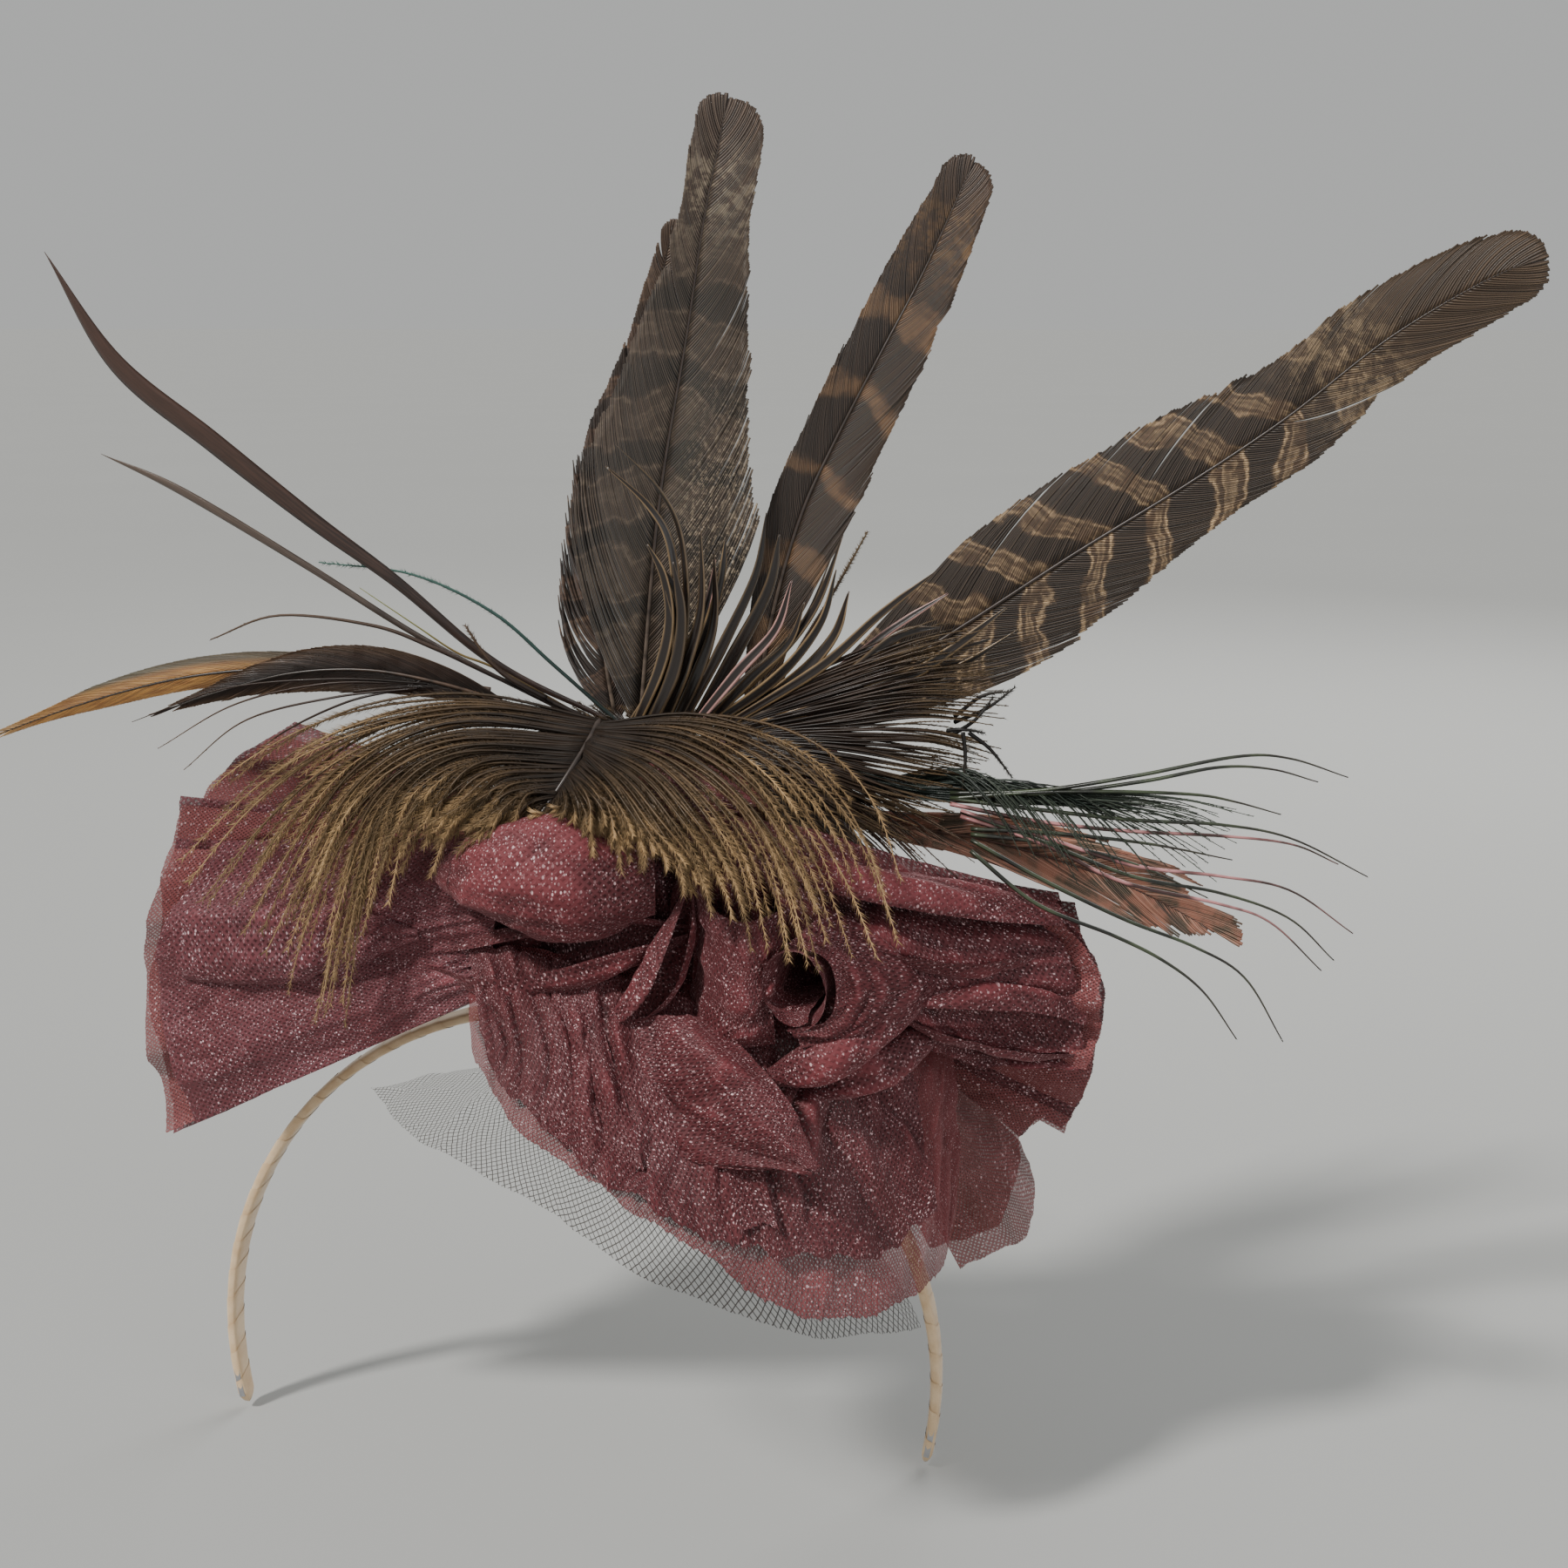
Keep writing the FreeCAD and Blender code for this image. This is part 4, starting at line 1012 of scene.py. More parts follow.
def right_spray():
    black = plume_material("black_herl_barbs", (0.008, 0.010, 0.009), (0.014, 0.022, 0.017),
                           (0.05, 0.062, 0.045), start=0.6, roughness=0.38)
    keys = points("""
        68 -23 130, 79 -27 133, 86 -32 129, 91 -33 122 /
        70 -23 130, 84 -28 133, 93 -33 126, 98 -34 116 /
        72 -24 130, 90 -29 132, 100 -33 124, 107 -34 114 /
        74 -25 130, 98 -30 131, 108 -33 124, 114 -34 116 /
        76 -26 129, 102 -30 130, 116 -32 126, 126 -33 120 /
        76 -26 129, 104 -30 130, 122 -31 129, 134 -32 125 /
        76 -26 129, 102 -30 131, 119 -31 131, 132 -32 129""")
    keys = [points("50 -20 134, 60 -21.5 132") + key for key in keys]
    paths = cut_lengths(spread(keys, 145, 1.5, 81, bunch=0.5), 0.62, 1.0, 82)
    herl("dark_cluster_barbs", paths, 0.24, 0.8, 90, black, "right_spray", ["dark_cluster"], 83,
         fuzz_from=0.25, lean=2.4)
    m = Nodes("arching_strand_barbs", roughness=0.3, Specular_IOR_Level=0.6)
    vec = m.uv()[2]
    shade, along, _ = m.tone()
    sheen = m.step(m.noise(vec, 0.12, 2.0, stretch=(1.0, 6.0, 1.0)), 0.42, 0.6)
    pink = m.mix(sheen, (0.05, 0.022, 0.02), (0.50, 0.22, 0.22))
    green = m.mix(sheen, (0.012, 0.014, 0.010), (0.045, 0.06, 0.03))
    col = m.mix(m.step(shade, 0.62, 0.66), green, pink)
    m.bump(m.noise(vec, 3.0, 2.0), 0.2, 0.0001)
    strand = m.color(m.mix(m.step(along, 0.5, 1.0, 0.0, 0.8), col, (0.035, 0.025, 0.018)))
    lines = points("""
        80 -29 130, 96 -31 131.5, 113 -32 135, 130 -32 139, 139 -32 139, 149 -32 136 /
        80 -29 130, 97 -31 131, 114 -32 134, 127 -32 137, 136 -32 137, 144 -32 135 /
        80 -29 129, 94 -31 131, 109 -32 132, 123 -32 132, 130 -32 131, 138 -32 129 /
        80 -29 129, 96 -31 128, 113 -32 127, 128 -33 127, 140 -33 125, 153 -34 119 /
        80 -29 128, 95 -31 126, 111 -32 125, 128 -33 125, 140 -33 124, 148 -34 121 /
        82 -30 127, 98 -32 123, 113 -33 119, 128 -34 118, 140 -34 116, 151 -35 109 /
        82 -30 127, 98 -32 122, 113 -33 117, 128 -34 115, 140 -34 111, 148 -35 104 /
        82 -30 126, 97 -32 122, 111 -33 116, 128 -34 113, 137 -34 110, 146 -35 102 /
        84 -31 122, 98 -32 115, 112 -33 109, 124 -34 105, 133 -35 100, 140 -36 89 /
        84 -31 120, 96 -32 111, 110 -33 106, 119 -34 102, 126 -35 97, 132 -36 89 /
        84 -31 124, 100 -32 124, 116 -33 123, 130 -34 121 /
        84 -31 123, 100 -32 122, 114 -33 119, 126 -34 114""")
    herl("arching_strand_lines", [curve(c, 40) for c in lines], 0.42, 0.55, 160, strand, "right_spray",
         ["arching_strands"], 85, fuzz_from=0.3, lean=3.0)
    m = Nodes("copper_vane", roughness=0.35, Specular_IOR_Level=0.6)
    vec = m.uv()[2]
    shade, _, ridge = m.tone()
    blotch = m.noise(vec, 0.18, 3.0)
    col = m.mix(m.step(blotch, 0.4, 0.6), (0.055, 0.05, 0.03), (0.42, 0.17, 0.11))
    col = m.mix(m.step(shade, 0.55, 0.9), col, (0.60, 0.33, 0.24))
    col = m.mix(m.step(shade, 0.35, 0.1), col, (0.02, 0.014, 0.01))
    m.bump(blotch, 0.1, 0.0001)
    # painted highlight: the ridge of each barb is lightened
    copper = m.color(m.mix(m.mul(ridge, 0.4), col, (0.75, 0.50, 0.38)))
    quill = quill_material("copper_quill", (0.25, 0.15, 0.10), (0.09, 0.04, 0.03))
    line = points("53 -14 123, 68 -17 121, 86 -18.5 119, 104 -19 114.5, 116 -19.5 110, 128 -20 104")
    obj = vane_feather("copper_feather_barbs", line, (0.5, 2.5, 4.5, 6, 5.5, 2.5),
                       (0.5, 2.5, 4, 5, 5, 2.5), [copper, quill],
                       barbs=105, angle=11, seed=87, shaft_w=0.45, split=4.0)
    finish_piece(obj, "right_spray", ["copper_feather"])


# ---- tulle -----------------------------------------------------------------------------------------

def surface_normals(grid):
    return unit(np.cross(np.gradient(grid, axis=0), np.gradient(grid, axis=1)))


def net_grid(net, rows, cols):
    """A smooth surface through a net of points, given as rows of points."""
    wide = np.array([curve(row, cols) for row in net])
    return np.stack([curve(wide[:, c], rows) for c in range(cols)], 1)


def creases(shape, seed, count, along_rows, wander=0.12):
    """Heights of about -1 to 1: soft folds that run down the rows or across them, drifting sideways."""
    rows, cols = shape
    u = np.linspace(0, 1, cols)[None, :] * np.ones((rows, 1))
    v = np.linspace(0, 1, rows)[:, None] * np.ones((1, cols))
    if not along_rows:
        u, v = v, u
    x = u + wander * wobble(v * 3.0 + u * 1.5, seed, 1.2)
    wave = np.sin(2 * math.pi * count * x + 2.0 * wobble(u * 4, seed + 1, 1.0))
    sharp = 1 - 2 * np.abs(np.sin(math.pi * count * 1.37 * x + 1.3)) ** 0.7
    size = 0.6 + 0.4 * wobble(u * 5 + v * 2, seed + 2, 1.4)
    return (0.65 * wave + 0.35 * sharp) * size


def ridges(length, width, shape, seed, count):
    """Sharp single creases scattered over a sheet, each a line that fades out at both ends."""
    r = np.random.default_rng(seed)
    y0 = np.linspace(0, length, shape[0])[:, None]
    x0 = np.linspace(0, width, shape[1])[None, :]
    high = np.zeros(shape)
    for _ in range(count):
        turn = r.normal(0, 0.7)
        x, y = x0 - r.random() * width, y0 - r.random() * length
        x, y = x * math.cos(turn) + y * math.sin(turn), y * math.cos(turn) - x * math.sin(turn)
        x = x + 1.5 * np.sin(y / 7.0 + r.uniform(0, 6))
        size = r.choice((-1.0, 1.0)) * r.uniform(0.4, 1.0)
        high = high + size * np.exp(-np.abs(x) / r.uniform(0.9, 2.4) - (y / r.uniform(7.0, 26.0)) ** 2)
    return high


def hollows(grid):
    """0 in the valleys of a sheet and 1 on its ridges, as seen from outside the headpiece. The tulle turns it
    into painted shade in the valleys and a painted highlight on the ridges.
    """
    soft = grid.copy()
    for _ in range(60):
        soft[1:-1, 1:-1] = 0.25 * (soft[:-2, 1:-1] + soft[2:, 1:-1] + soft[1:-1, :-2] + soft[1:-1, 2:])
    out = unit(grid - np.array([27.0, 0.0, 88.0]))
    return np.clip(0.5 + ((grid - soft) * out).sum(-1) / 1.8, 0, 1)


def crumple(grid, amount, count, seed, along_rows=True, edge=0.0):
    """Push a surface in and out along its normals, in folds and finer creases."""
    rows, cols = grid.shape[:2]
    high = creases((rows, cols), seed, count, along_rows)
    high = high + 0.25 * creases((rows, cols), seed + 10, count * 2.7, along_rows, 0.05)
    high = high + 0.12 * creases((rows, cols), seed + 20, count * 2.0, not along_rows, 0.2)
    if edge:
        v = np.linspace(0, 1, rows)[:, None]
        high = high * (edge + (1 - edge) * np.sin(math.pi * v) ** 0.5)
    return grid + surface_normals(grid) * (amount * high)[..., None]


# What each sheet of tulle and net was cut to: the sides of its flat outline in mm, and its own area in mm2.
CUTS = {name: tuple(map(int, sizes)) for name, *sizes in map(str.split, """\
tulle_fan_left_front_ply 68 81 3560
tulle_fan_left_front_second_ply 66 81 3470
tulle_fan_left_middle_ply 69 80 3680
tulle_fan_left_middle_second_ply 66 80 3580
tulle_fan_left_back_ply 70 75 3350
tulle_fan_left_back_second_ply 64 74 2970
tulle_fan_right_front_ply 43 52 1610
tulle_fan_right_front_second_ply 44 52 1640
tulle_fan_right_middle_ply 56 54 2100
tulle_fan_right_middle_second_ply 55 53 2070
tulle_fan_right_back_ply 63 52 2160
tulle_fan_right_back_second_ply 58 52 1990
tulle_lobe_right_ply 44 50 1270
tulle_lobe_right_second_ply 45 49 1280
tulle_core_pouf 116 70 6130
tulle_back_ruche 80 46 3380
tulle_back_skirt 94 20 1590
tulle_crown_frill 178 18 1870
tulle_swag_left 66 73 3250
tulle_swag_right 58 49 2190
tulle_right_upper_fold 35 56 1620
tulle_right_lower_fold 27 39 840
tulle_left_soft_fold 27 54 1160
tulle_inner_ruche 100 39 3620
tulle_roll_left_leaf 45 46 1440
tulle_twist_band_roll 29 57 1250
tulle_band_end_roll 18 32 480
tulle_shell_panel 28 25 580
tulle_curl_roll 47 22 890
tulle_curl_apron 48 14 460
tulle_twist_right_roll 21 38 580
tulle_second_twist_roll 20 38 540
tulle_dog_ear_fold 54 22 880
tulle_fold_back_pleats 36 43 1400
tulle_skirt_drape 138 42 4460
tulle_skirt_left_panel 58 34 930
tulle_skirt_middle_panel 67 42 1520
tulle_skirt_right_panel 68 40 1790
veil_net_drape 154 35 3360""".splitlines())}


def cloth(name, grid, material, nodes=(), crease=0.55):
    """One sheet of cloth from a grid of points in millimetres."""
    rows, cols = grid.shape[:2]
    down = np.linalg.norm(np.diff(grid, axis=0), axis=2).sum(0)
    across = np.linalg.norm(np.diff(grid, axis=1), axis=2).sum(1)
    length = down.mean()
    seed = int(1000 * abs(grid[0, 0] + grid[-1, -1]).sum()) % 9973
    fine = ridges(length, across.mean(), (rows, cols), seed, int(length * across.mean() / 45))
    grid = grid + surface_normals(grid) * (crease * fine)[..., None]
    # tone: valleys and ridges of the sheet, which the tulle paints as shade and highlight
    tone = np.repeat(hollows(grid).reshape(-1, 1), 3, axis=1)
    build = Builder()
    u = np.linspace(-0.5, 0.5, cols)[None, :] * across.mean() * np.ones((rows, 1))
    v = np.linspace(0, length, rows)[:, None] * np.ones((1, cols))
    build.add(grid, grid_faces(rows, cols), np.stack([u, v], -1), tone)
    obj = build.make(name, [material])
    return finish_piece(obj, "root", nodes)


def gather(neck, rim, depth, folds, seed, rows=70, cols=240, push=(0, -1, 0),
           loose=0.22, ragged=0.5, bow=0.0):
    """Cloth gathered at its neck: folds grow from there to the rim, to and fro along push."""
    r = np.random.default_rng(seed)
    t = np.linspace(0, 1, cols)
    s = np.linspace(0, 1, rows)[:, None]
    inner, outer = curve(neck, cols), curve(rim, cols)
    grid = inner[None] * (1 - s[..., None]) + outer[None] * s[..., None]
    away = unit(np.array(push, float))
    warp = t[None, :] + 0.03 * wobble(t * 2.5, seed, 2.0)[None, :] + 0.02 * wobble(s * 3, seed + 6, 1.5)
    start = r.uniform(0, 6)
    wave = np.sin(2 * math.pi * folds * warp + start)
    wave = np.sign(wave) * np.abs(wave) ** 0.8
    fine = np.sin(2 * math.pi * folds * 2.6 * warp + r.uniform(0, 6))
    finer = np.sin(2 * math.pi * folds * 6.5 * warp + r.uniform(0, 6))
    tall = 0.6 + 0.5 * wobble(t * 4, seed + 1, 1.6)[None, :]
    grow = 0.22 + 0.78 * s**0.9
    cross = depth * (grow * wave * tall + loose * (0.35 + 0.65 * s) * fine * (1 - 0.35 * s))
    cross = cross + 0.07 * depth * finer * (1 - s)
    cross = cross + 0.5 * s * wobble(t[None, :] * 5 + s * 3, seed + 2, 1.0) + bow * np.sin(math.pi * s)
    grid = grid + away * cross[..., None]
    out = unit(outer - inner)[None]
    edge = ragged * (wobble(t * 9, seed + 4, 1.6) + 0.12 * np.random.default_rng(seed + 5).normal(0, 1, cols))
    return grid + out * (edge[None, :] * s**8)[..., None]


def rolled(axis, wide, deep, start, sweep, amount, count, seed, spiral=0.12, up=(0, 0, 1)):
    """Cloth rolled round a curved axis. start and sweep are in degrees, from the up side and first over
    the side away from the face, so that the gap in a roll that starts at -50 looks forward."""
    rows, cols = 60, 120
    line = curve(axis, rows)
    a, b = curve(wide, rows), curve(deep, rows)
    tangent = unit(np.gradient(line, axis=0))
    away = unit(np.cross(np.array(up, float), tangent))
    over = np.cross(tangent, away)
    angle = np.radians(start + np.linspace(0, sweep, cols))[None, :]
    grow = 1 + spiral * np.linspace(0, 1, cols)[None, :]
    grid = (line[:, None] + over[:, None] * (np.cos(angle) * a[:, None] * grow)[..., None]
            + away[:, None] * (np.sin(angle) * b[:, None] * grow)[..., None])
    return crumple(grid, amount, count, seed, edge=0.15)


HEAD_SKIRT = np.array([80.0, 97.5, 84.0])
HEAD_VEIL = np.array([77.5, 95.0, 79.0])


def on_head(grid, axes, lift=0.0):
    """Push points that lie inside an ellipsoid round the head out to it, plus a lift."""
    size = np.sqrt(((grid / axes) ** 2).sum(-1, keepdims=True))
    return grid / np.minimum(size, 1.0) + unit(grid) * lift


def tulle_fans(dense, sheer, lit_burgundy):
    neck_left = points("4 0 92, -3 0 103, 4 0 114")
    neck_right = points("50 0 86, 57 0 97, 50 0 110")
    layers = [
        ("tulle_fan_left_front", neck_left, -24, points("-77 0 52, -79 0 72, -79 0 92, -72 0 114")),
        ("tulle_fan_left_middle", neck_left, -12, points("-72 0 60, -80 0 80, -80 0 100, -76 0 120")),
        ("tulle_fan_left_back", neck_left, 0, points("-72 0 82, -78 0 100, -77 0 118, -58 0 133")),
        ("tulle_fan_right_front", neck_right, -22, points("106 0 77, 108 0 86, 107 0 97, 98 0 110")),
        ("tulle_fan_right_middle", neck_right, -11, points("101 0 60, 106 0 72, 106 0 90, 102 0 106")),
        ("tulle_fan_right_back", neck_right, 0, points("92 0 54, 102 0 66, 104 0 84, 98 0 104")),
    ]
    for k, (node, neck, y, rim) in enumerate(layers):
        for ply in (0, 1):
            n = np.array(neck, float) + (0, y + 1.0 - 2 * ply, 0)
            q = np.array(rim, float)
            q = q.mean(0) + (q - q.mean(0)) * (1 - 0.05 * ply) + (0, y + 2.0 - 4.0 * ply, 0)
            grid = gather(n, q, 2.6, 1.7 + 0.5 * ((k + ply) % 3), 160 + 7 * k + ply, loose=0.14)
            name = node + ("_ply" if ply == 0 else "_second_ply")
            # the left fans' outer plies take the lighter copy: painted light on the lit side
            outer = lit_burgundy if k < 3 else dense
            cloth(name, grid, outer if ply == 0 else sheer,
                  [node] if ply == 0 else ())


def tulle_front(dense, lit_burgundy):
    grid = gather(points("-1 -37 92, -4 -37 99, -2 -36 109, 3 -35 121"),
                  points("-69 -28 57, -75 -28 77, -74 -28 95, -62 -29 115"), 2.2, 1.9, 201,
                  bow=1.0, loose=0.14)
    # the left swag takes the lighter copy of the tulle: painted light on the lit side
    cloth("tulle_swag_left", grid, lit_burgundy)
    net = points("""
        40 -32 125, 56 -33 123, 74 -31 118, 94 -26 112 /
        48 -39 115, 62 -41 113, 80 -36 107, 101 -26 102 /
        56 -43 104, 68 -43 100, 84 -36 95, 104 -25 91 /
        64 -41 95, 74 -39 90, 86 -33 85, 105 -24 80 /
        66 -34 89, 75 -33 84, 86 -30 80, 104 -23 77""")
    cloth("tulle_swag_right", crumple(net_grid(net, 110, 150), 1.7, 3.6, 211, along_rows=False), dense)
    grid = rolled(points("50 -37 116, 64 -42 112, 82 -36 107, 99 -25 104"), (2.0, 7.0, 8.0, 4.5),
                  (1.5, 4.5, 4.5, 2.5), -70, 300, 0.9, 3, 213)
    cloth("tulle_right_upper_fold", grid, dense)
    grid = rolled(points("70 -40 93, 82 -36 91, 95 -29 88, 104 -24 85"), (1.0, 5.0, 6.5, 5.0),
                  (0.8, 3.5, 3.0, 2.0), -70, 290, 0.8, 3, 215)
    cloth("tulle_right_lower_fold", grid, dense)
    grid = rolled(points("-18 -37 101, -34 -35.5 99, -52 -32 97, -70 -29 95"), (1.0, 6.0, 8.0, 7.0),
                  (0.8, 2.5, 2.5, 2.0), -60, 280, 0.7, 3, 217)
    cloth("tulle_left_soft_fold", grid, lit_burgundy)
    net = points("""
        -10 -26 120, 14 -28 123, 40 -28 123, 66 -27 118 /
        -14 -27 110, 12 -30 112, 42 -30 111, 72 -29 106 /
        -16 -28 98, 12 -31 99, 42 -31 97, 74 -29 93 /
        -12 -30 90, 12 -33 88, 42 -34 84, 72 -29 82""")
    cloth("tulle_inner_ruche", crumple(net_grid(net, 110, 200), 2.0, 7.0, 219), dense)
    grid = rolled(points("-15 -38 113.5, -2 -43 114.5, 13 -45 115, 28 -41 115"), (0.4, 7.5, 11.0, 6.5),
                  (0.4, 5.5, 6.0, 3.5), 125, 290, 0.8, 3, 221)
    cloth("tulle_roll_left_leaf", grid, dense, ["tulle_roll_left"])
    grid = rolled(points("-20 -33 95, -4 -37 95.5, 10 -40 99, 22 -41.5 103, 34 -40 105"),
                  (1.0, 6.0, 6.5, 5.0, 1.0), (1.0, 3.2, 4.0, 3.5, 1.0), -40, 300, 0.9, 3, 231)
    cloth("tulle_twist_band_roll", grid, dense, ["tulle_twist_band"])
    grid = rolled(points("34 -40 112, 32 -43 104, 28 -44 95, 19 -42 86"), (0.8, 3.0, 3.6, 1.2),
                  (0.8, 2.6, 3.0, 1.2), -30, 300, 0.5, 2, 235, up=(1, 0, 0))
    cloth("tulle_band_end_roll", grid, dense)
    net = points("""
        33 -36 117, 38 -43 111, 46 -47 109.5, 53 -42 111 /
        35 -37 108, 38.5 -45 104, 46 -50 102, 52 -47 103 /
        35 -37 99, 38.5 -45 96, 46 -50 94, 51 -48 95 /
        33 -36 90, 37 -43 89, 44 -47 86, 51 -45 86""")
    cloth("tulle_shell_panel", crumple(net_grid(net, 90, 80), 0.7, 2.2, 241, along_rows=False), dense,
          ["tulle_shell_fold"])
    grid = rolled(points("59 -30 100, 57 -40 99.5, 55.5 -47 99, 55 -51 98.5"), (5.2, 4.6, 4.6, 5.4),
                  (6.2, 5.6, 5.8, 6.8), 60, 400, 0.25, 2, 251, spiral=0.2, up=(1, 0, 0))
    cloth("tulle_curl_roll", grid, dense, ["tulle_curl_tube"])
    net = points("""
        54 -50 106.5, 60.5 -50 104, 62.5 -50 98.5, 60.5 -50 93, 54 -50 91 /
        57 -48 109, 65 -48 105, 68.5 -48 98, 65 -49 91, 56 -49 88 /
        60 -43 111, 71 -43 105.5, 77 -41 97, 69 -45 90, 57 -47 85""")
    cloth("tulle_curl_apron", crumple(net_grid(net, 70, 130), 0.7, 2.4, 255, along_rows=False), dense)
    grid = rolled(points("79 -37 98, 71 -43 91, 61 -47 85.5, 50 -45 80"), (0.8, 3.0, 4.2, 1.5),
                  (0.8, 2.6, 3.2, 1.2), -60, 300, 0.6, 2, 261)
    cloth("tulle_twist_right_roll", grid, dense, ["tulle_twist_right"])
    grid = rolled(points("84 -30 92, 75 -36 85, 65 -41 80, 54 -41 76"), (0.8, 3.4, 4.0, 1.2),
                  (0.8, 2.6, 3.0, 1.0), -60, 300, 0.6, 2, 265)
    cloth("tulle_second_twist_roll", grid, dense)
    net = points("""
        19 -42 87, 24 -46.5 76, 37 -53.5 66.5, 59.5 -57.6 67.6 /
        26 -43.5 89.5, 32 -49.5 79.5, 44 -54.5 71, 60 -58 67.9 /
        32 -46 91, 41 -52.5 85, 51 -56.5 76.5, 60.5 -58.6 68.3 /
        38 -43 90, 47 -48.5 85, 55 -53.5 78.5, 60.8 -57.4 68.8""")
    cloth("tulle_dog_ear_fold", crumple(net_grid(net, 80, 110), 0.5, 3.5, 271, along_rows=False), dense,
          ["tulle_dog_ear"])
    net = points("""
        30 -27 124, 36 -30 125, 44 -30 124, 52 -26 122 /
        29 -30 112, 36 -33 112, 45 -33 111, 54 -29 110 /
        28 -30 98, 36 -33 98, 46 -33 96, 56 -29 95 /
        30 -27 84, 36 -30 83, 46 -30 82, 56 -26 83""")
    cloth("tulle_fold_back_pleats", crumple(net_grid(net, 70, 110), 1.8, 3.5, 281), dense,
          ["tulle_fold_back"])


def tulle_core(dense):
    rows, cols = 90, 200
    v = np.radians(np.linspace(8, 165, rows))[:, None]
    u = np.radians(np.linspace(-262, 82, cols))[None, :]
    grid = np.stack([27 + 24 * np.sin(v) * np.cos(u), -11 + 11.5 * np.sin(v) * np.sin(u),
                     100 + 30 * np.cos(v) * np.ones_like(u)], -1)
    grid = crumple(grid, 1.6, 9, 291)
    out = np.linalg.norm(grid, axis=-1, keepdims=True)
    grid = np.where(out < ABOVE_BASE, grid * ABOVE_BASE / out, grid)
    cloth("tulle_core_pouf", grid, dense, ["tulle_core"])
    net = points("""
        2 -2 126, 18 4 129, 36 4 129, 52 -2 124 /
        -6 2 114, 16 9 117, 40 9 116, 60 2 110 /
        -8 3 100, 15 11 103, 41 11 101, 62 3 96 /
        -2 2 86, 16 9 88, 40 9 85, 58 3 82""")
    cloth("tulle_back_ruche", crumple(net_grid(net, 110, 170), 2.2, 5.5, 293), dense)
    neck = points("-4 4 92, 14 8 92, 32 8 90, 50 6 86, 62 0 82")
    hem = points("-9 14 76, 8 19 76, 27 20 73, 46 18 67, 62 8 60")
    grid = on_head(gather(neck, hem, 2.0, 5, 295, push=(0, 1, 0.3), ragged=1.2), HEAD_SKIRT, 1.2)
    cloth("tulle_back_skirt", grid, dense)
    turn = np.linspace(0, 2 * math.pi, 280)[None, :]
    out = np.linspace(0, 1, 50)[:, None]
    wave = np.sin(turn * 9 + 0.8 * np.sin(turn * 2)) + 0.4 * np.sin(turn * 23 + 1)
    grid = np.stack([28 + (13 + 20 * out) * np.cos(turn), -8 + (6 + 9 * out) * np.sin(turn),
                     131.5 - 9 * out**1.6 + 1.5 * out * wave], -1)
    cloth("tulle_crown_frill", grid, dense)


def drapes(dense, sheer, veil):
    neck = points("-11 -32 98, 4 -35 98, 20 -36 95, 36 -36 90, 52 -35 86, 66 -31 83, 76 -24 81, 80 -18 78")
    hem = points("-5 -45 77, 4 -50 68, 20 -56 59, 33 -58 52, 51 -56 43, 67 -48 36, 78 -36 38, 81 -26 48")
    grid = on_head(gather(neck, hem, 0.0, 1, 301, rows=90, ragged=1.8), HEAD_SKIRT)
    s = np.linspace(0, 1, grid.shape[0])[:, None]
    size = grid.shape[:2]
    fold = creases(size, 303, 5.0, True, 0.06) + 0.3 * creases(size, 305, 13.0, True, 0.04)
    lift = 0.8 + 2.2 * np.abs(fold) ** 0.9 * np.sin(math.pi * (0.15 + 0.75 * s))
    grid = grid + unit(grid) * lift[..., None]
    cloth("tulle_skirt_drape", grid, sheer, ["tulle_skirt_front"], crease=0.35)
    panels = [
        ("tulle_skirt_left_panel", points("-9 -35 97, 2 -37 97, 14 -38 94"),
         points("-2 -47 79, 7 -51 71, 18 -55 65, 29 -56 64"), 1.8, 2.2, 311),
        ("tulle_skirt_middle_panel", points("8 -38 96, 22 -39 93, 36 -39 89"),
         points("11 -53 67, 24 -57 59, 38 -57 53, 52 -55 54"), 2.6, 2.6, 315),
        ("tulle_skirt_right_panel", points("34 -39 89, 48 -39 86, 60 -36 84, 70 -31 83"),
         points("41 -56 54, 54 -54 49, 67 -46 47, 78 -35 51"), 2.2, 2.8, 319),
    ]
    for name, neck, hem, lift, folds, seed in panels:
        upper = on_head(gather(neck, hem, 0.0, 1, seed, rows=90, cols=150, ragged=1.8), HEAD_SKIRT, lift)
        s = np.linspace(0, 1, upper.shape[0])[:, None]
        fold = creases(upper.shape[:2], seed + 1, folds, True, 0.10)
        fold = np.abs(fold + 0.25 * creases(upper.shape[:2], seed + 2, folds * 2.2, True, 0.08))
        upper = upper + unit(upper) * (3.4 * fold * np.sin(math.pi * (0.12 + 0.78 * s)))[..., None]
        cloth(name, upper, dense, crease=0.35)
    neck = points("-6 -33 74, 20 -38 72, 48 -30 64")
    hem = points("-29 -34 68, -14 -48 62, 8 -58 58, 32 -62 45, 58 -48 32, 72 -16 19")
    grid = on_head(gather(neck, hem, 0.0, 1, 321, rows=60, cols=200, ragged=0.8), HEAD_VEIL, 0.4)
    soft = creases(grid.shape[:2], 323, 4.0, True, 0.1)
    grid = grid + unit(grid) * (0.7 + 0.7 * soft)[..., None]
    cloth("veil_net_drape", grid, veil, ["veil_net"])


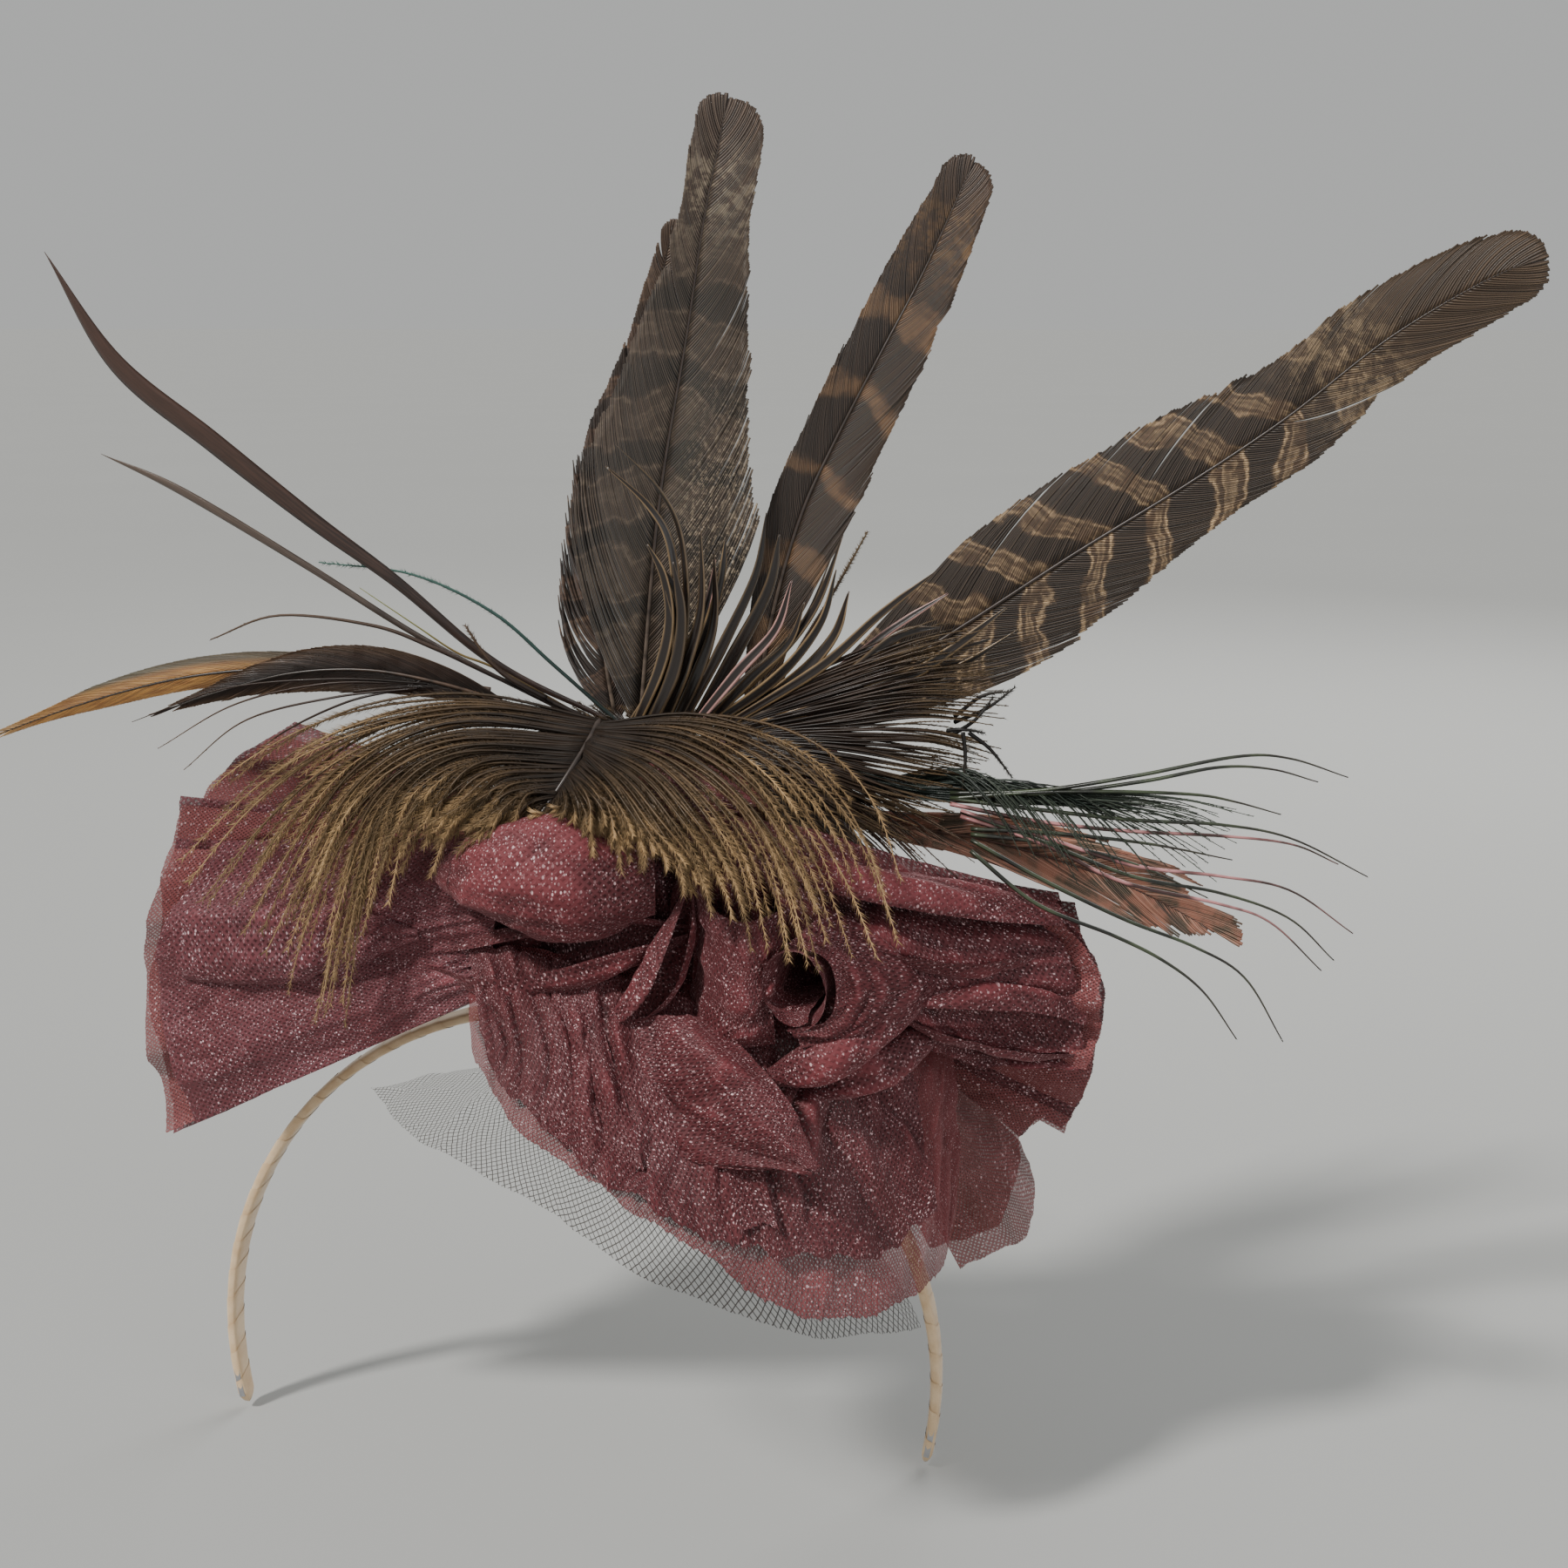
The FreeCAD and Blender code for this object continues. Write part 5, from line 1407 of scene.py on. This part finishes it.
def tulle():
    wine = (0.086, 0.019, 0.022)
    dense = tulle_material("burgundy_tulle", wine, (1.0, 0.70, 0.72), 0.88, 0.99, 0.8)
    sheer = tulle_material("burgundy_tulle_single", (0.150, 0.030, 0.033), (1.0, 0.72, 0.75), 0.50, 0.88,
                           0.6, 0.6)
    # a lighter copy of the burgundy tulle for the left side: painted light where the key light falls
    lit_burgundy = tulle_material("burgundy_tulle_lit_copy", (0.125, 0.033, 0.039), (1.0, 0.72, 0.76), 0.82, 0.97, 0.8)
    rose = tulle_material("rose_tulle_single", (0.19, 0.050, 0.050), (1.0, 0.74, 0.76), 0.62, 0.92, 0.6, 0.6)
    veil = tulle_material("brown_veil", (0.022, 0.012, 0.008), (0.20, 0.15, 0.11), 0.02, 0.85, 0.0, 1.0, 0.0,
                          (0.36, 0.47))
    tulle_fans(dense, rose, lit_burgundy)
    lobe = gather(points("54 9 70, 60 9 73, 66 9 74"), points("80 9 22, 92 9 28, 95 9 38, 92 9 50"),
                  2.2, 2.0, 241)
    cloth("tulle_lobe_right_ply", lobe, rose, ["tulle_lobe_right"])
    lobe = gather(points("50 6 74, 58 6 77, 66 6 78"), points("74 6 27, 86 6 31, 91 6 42, 92 6 56"),
                  2.0, 1.6, 245)
    cloth("tulle_lobe_right_second_ply", lobe, rose)
    tulle_core(dense)
    tulle_front(dense, lit_burgundy)
    drapes(dense, sheer, veil)


# ---- band and base ---------------------------------------------------------------------------------

def band_half(name, sign, nodes, material):
    """The ribbon wound round half of the band: one strip, each turn lapping over the one before."""
    width, pitch, radius = 10.0, 6.6, BAND_RADIUS
    end = math.radians(BAND_END)
    turns = radius * end / pitch
    steps, across = int(turns * 34), 9
    phi = np.linspace(0, turns * 2 * math.pi, steps)[:, None]
    a = np.linspace(0, 1, across)[None, :]
    slant = math.cos(math.atan(pitch / BAND_GIRTH))
    along = (end * radius - pitch * phi / (2 * math.pi)) - (a - 0.5) * width * slant + 2.0
    along = np.clip(along, 0.0, end * radius)
    theta = along / radius
    close = np.sqrt(np.clip((end * radius - along) / 2.2, 0.02, 1))
    lap = 0.05 + 0.16 * a + 0.02 * np.sin(phi * 3.1 + a * 2)
    half_y = (3.0 * np.interp(along, [0, 105, 138], [1.0, 0.95, 0.72]) + lap) * close
    half_r = (1.0 + lap) * close
    c, s = np.cos(phi + 0 * a), np.sin(phi + 0 * a)
    y = np.sign(c) * np.abs(c) ** 0.55 * half_y
    r = radius + np.sign(s) * np.abs(s) ** 0.55 * half_r
    grid = np.stack([sign * r * np.sin(theta), y, r * np.cos(theta)], -1)
    build = Builder()
    uv = np.stack([phi / (2 * math.pi) * BAND_GIRTH + 0 * a, a * width + 0 * phi], -1)
    build.add(grid, grid_faces(steps, across), uv, np.full((steps * across, 3), 0.5))
    obj = build.make(name, [material])
    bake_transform(obj)
    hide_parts(*nodes)


def felt_piece(name, grid, nodes):
    rows, cols = grid.shape[:2]
    build = Builder()
    uv = np.stack(np.meshgrid(np.arange(cols), np.arange(rows)), -1).astype(float)
    build.add(grid, grid_faces(rows, cols), uv, np.full((rows * cols, 3), 0.5))
    finish_piece(build.make(name, [felt_material()]), "root", nodes)


def base_piece():
    aim = unit(np.array(BASE_AIM))
    e1 = unit(np.cross(aim, (0, 1.0, 0)))
    e2 = np.cross(aim, e1)
    turn = np.linspace(0, 2 * math.pi, 97)[:-1]
    profile = [(rho, BASE_TOP) for rho in (0, 6, 12, 17, 20, 22)]
    profile += [(23.3, 79.8), (23.9, 79.3), (24, 79), (23.9, 78.5), (23.2, 78.15)]
    profile += [(rho, BASE_UNDER) for rho in (21, 17, 12, 6, 0)]
    rings = []
    for rho, radius in profile:
        lump = 0.12 * np.sin(turn * 5 + rho) + 0.08 * np.sin(turn * 11)
        size = radius + lump * (rho > 1)
        flat = max(rho, 0.01)
        direction = (aim * math.sqrt(radius**2 - flat**2) + flat * (np.cos(turn)[:, None] * e1
                     + np.sin(turn)[:, None] * e2))
        rings.append(unit(direction) * np.reshape(size, (-1, 1)))
    grid = np.array(rings)
    felt_piece("felt_base_disc", np.concatenate([grid, grid[:, :1]], axis=1), ["felt_base"])
    build = Builder()
    for k in range(56):
        t = 2 * math.pi * (k + 0.5) / 56
        around = math.cos(t) * e1 + math.sin(t) * e2
        path = []
        for rho, radius in ((20.6, 80.0), (21.2, 80.55), (22.4, 80.5), (23.6, 80.1), (24.45, 79.2)):
            path.append(unit(aim * math.sqrt(radius**2 - rho**2) + rho * around) * radius)
        path = curve(path, 8)[None]
        size = np.full((1, 8), 0.17)
        uv = np.zeros((1, 8, 2))
        prisms(build, path, size, size, unit(np.cross(aim, around)) + 0.01, uv, np.full((1, 8, 3), 0.5), 5)
    obj = build.make("base_edge_stitches", [thread_material()])
    finish_piece(obj, "root")


def pad_piece():
    rows, cols = 40, 90
    v = np.linspace(0, math.pi, rows)[:, None]
    u = np.linspace(0, 2 * math.pi, cols)[None, :]
    squash = np.sign(np.cos(v)) * np.abs(np.cos(v)) ** 0.6
    lump = 1 + 0.03 * np.sin(u * 3 + 1) + 0.02 * np.sin(u * 7)
    out = np.sin(v) ** 0.6
    grid = np.stack([28 + 27 * out * np.cos(u) * lump, -7 + 9 * out * np.sin(u) * lump,
                     132 + 1.6 * squash + 0.15 * np.sin(u * 4) * np.sin(v)], -1)
    felt_piece("feather_pad_felt", grid, ["feather_pad"])


def dress_cad_nodes():
    """Give the CAD parts that stay, the spring strips and the base's stitches, their own materials."""
    steel, thread = steel_material(), thread_material()
    for obj in bpy.data.objects:
        if obj.name.startswith("headband_core"):
            for slot in obj.material_slots:
                slot.material = steel
        if obj.name.startswith("base_stitches"):
            for slot in obj.material_slots:
                slot.material = thread


def main():
    studio()
    dress_cad_nodes()
    satin = satin_material()
    band_half("ribbon_wrap_right_strip", 1, ["ribbon_wrap_right"], satin)
    band_half("ribbon_wrap_left_strip", -1, ["ribbon_wrap_left", "ribbon_wrap_crown"], satin)
    base_piece()
    pad_piece()
    tulle()
    tail_feathers()
    left_spray()
    left_feathers()
    plumage()
    front_herls()
    right_spray()


main()
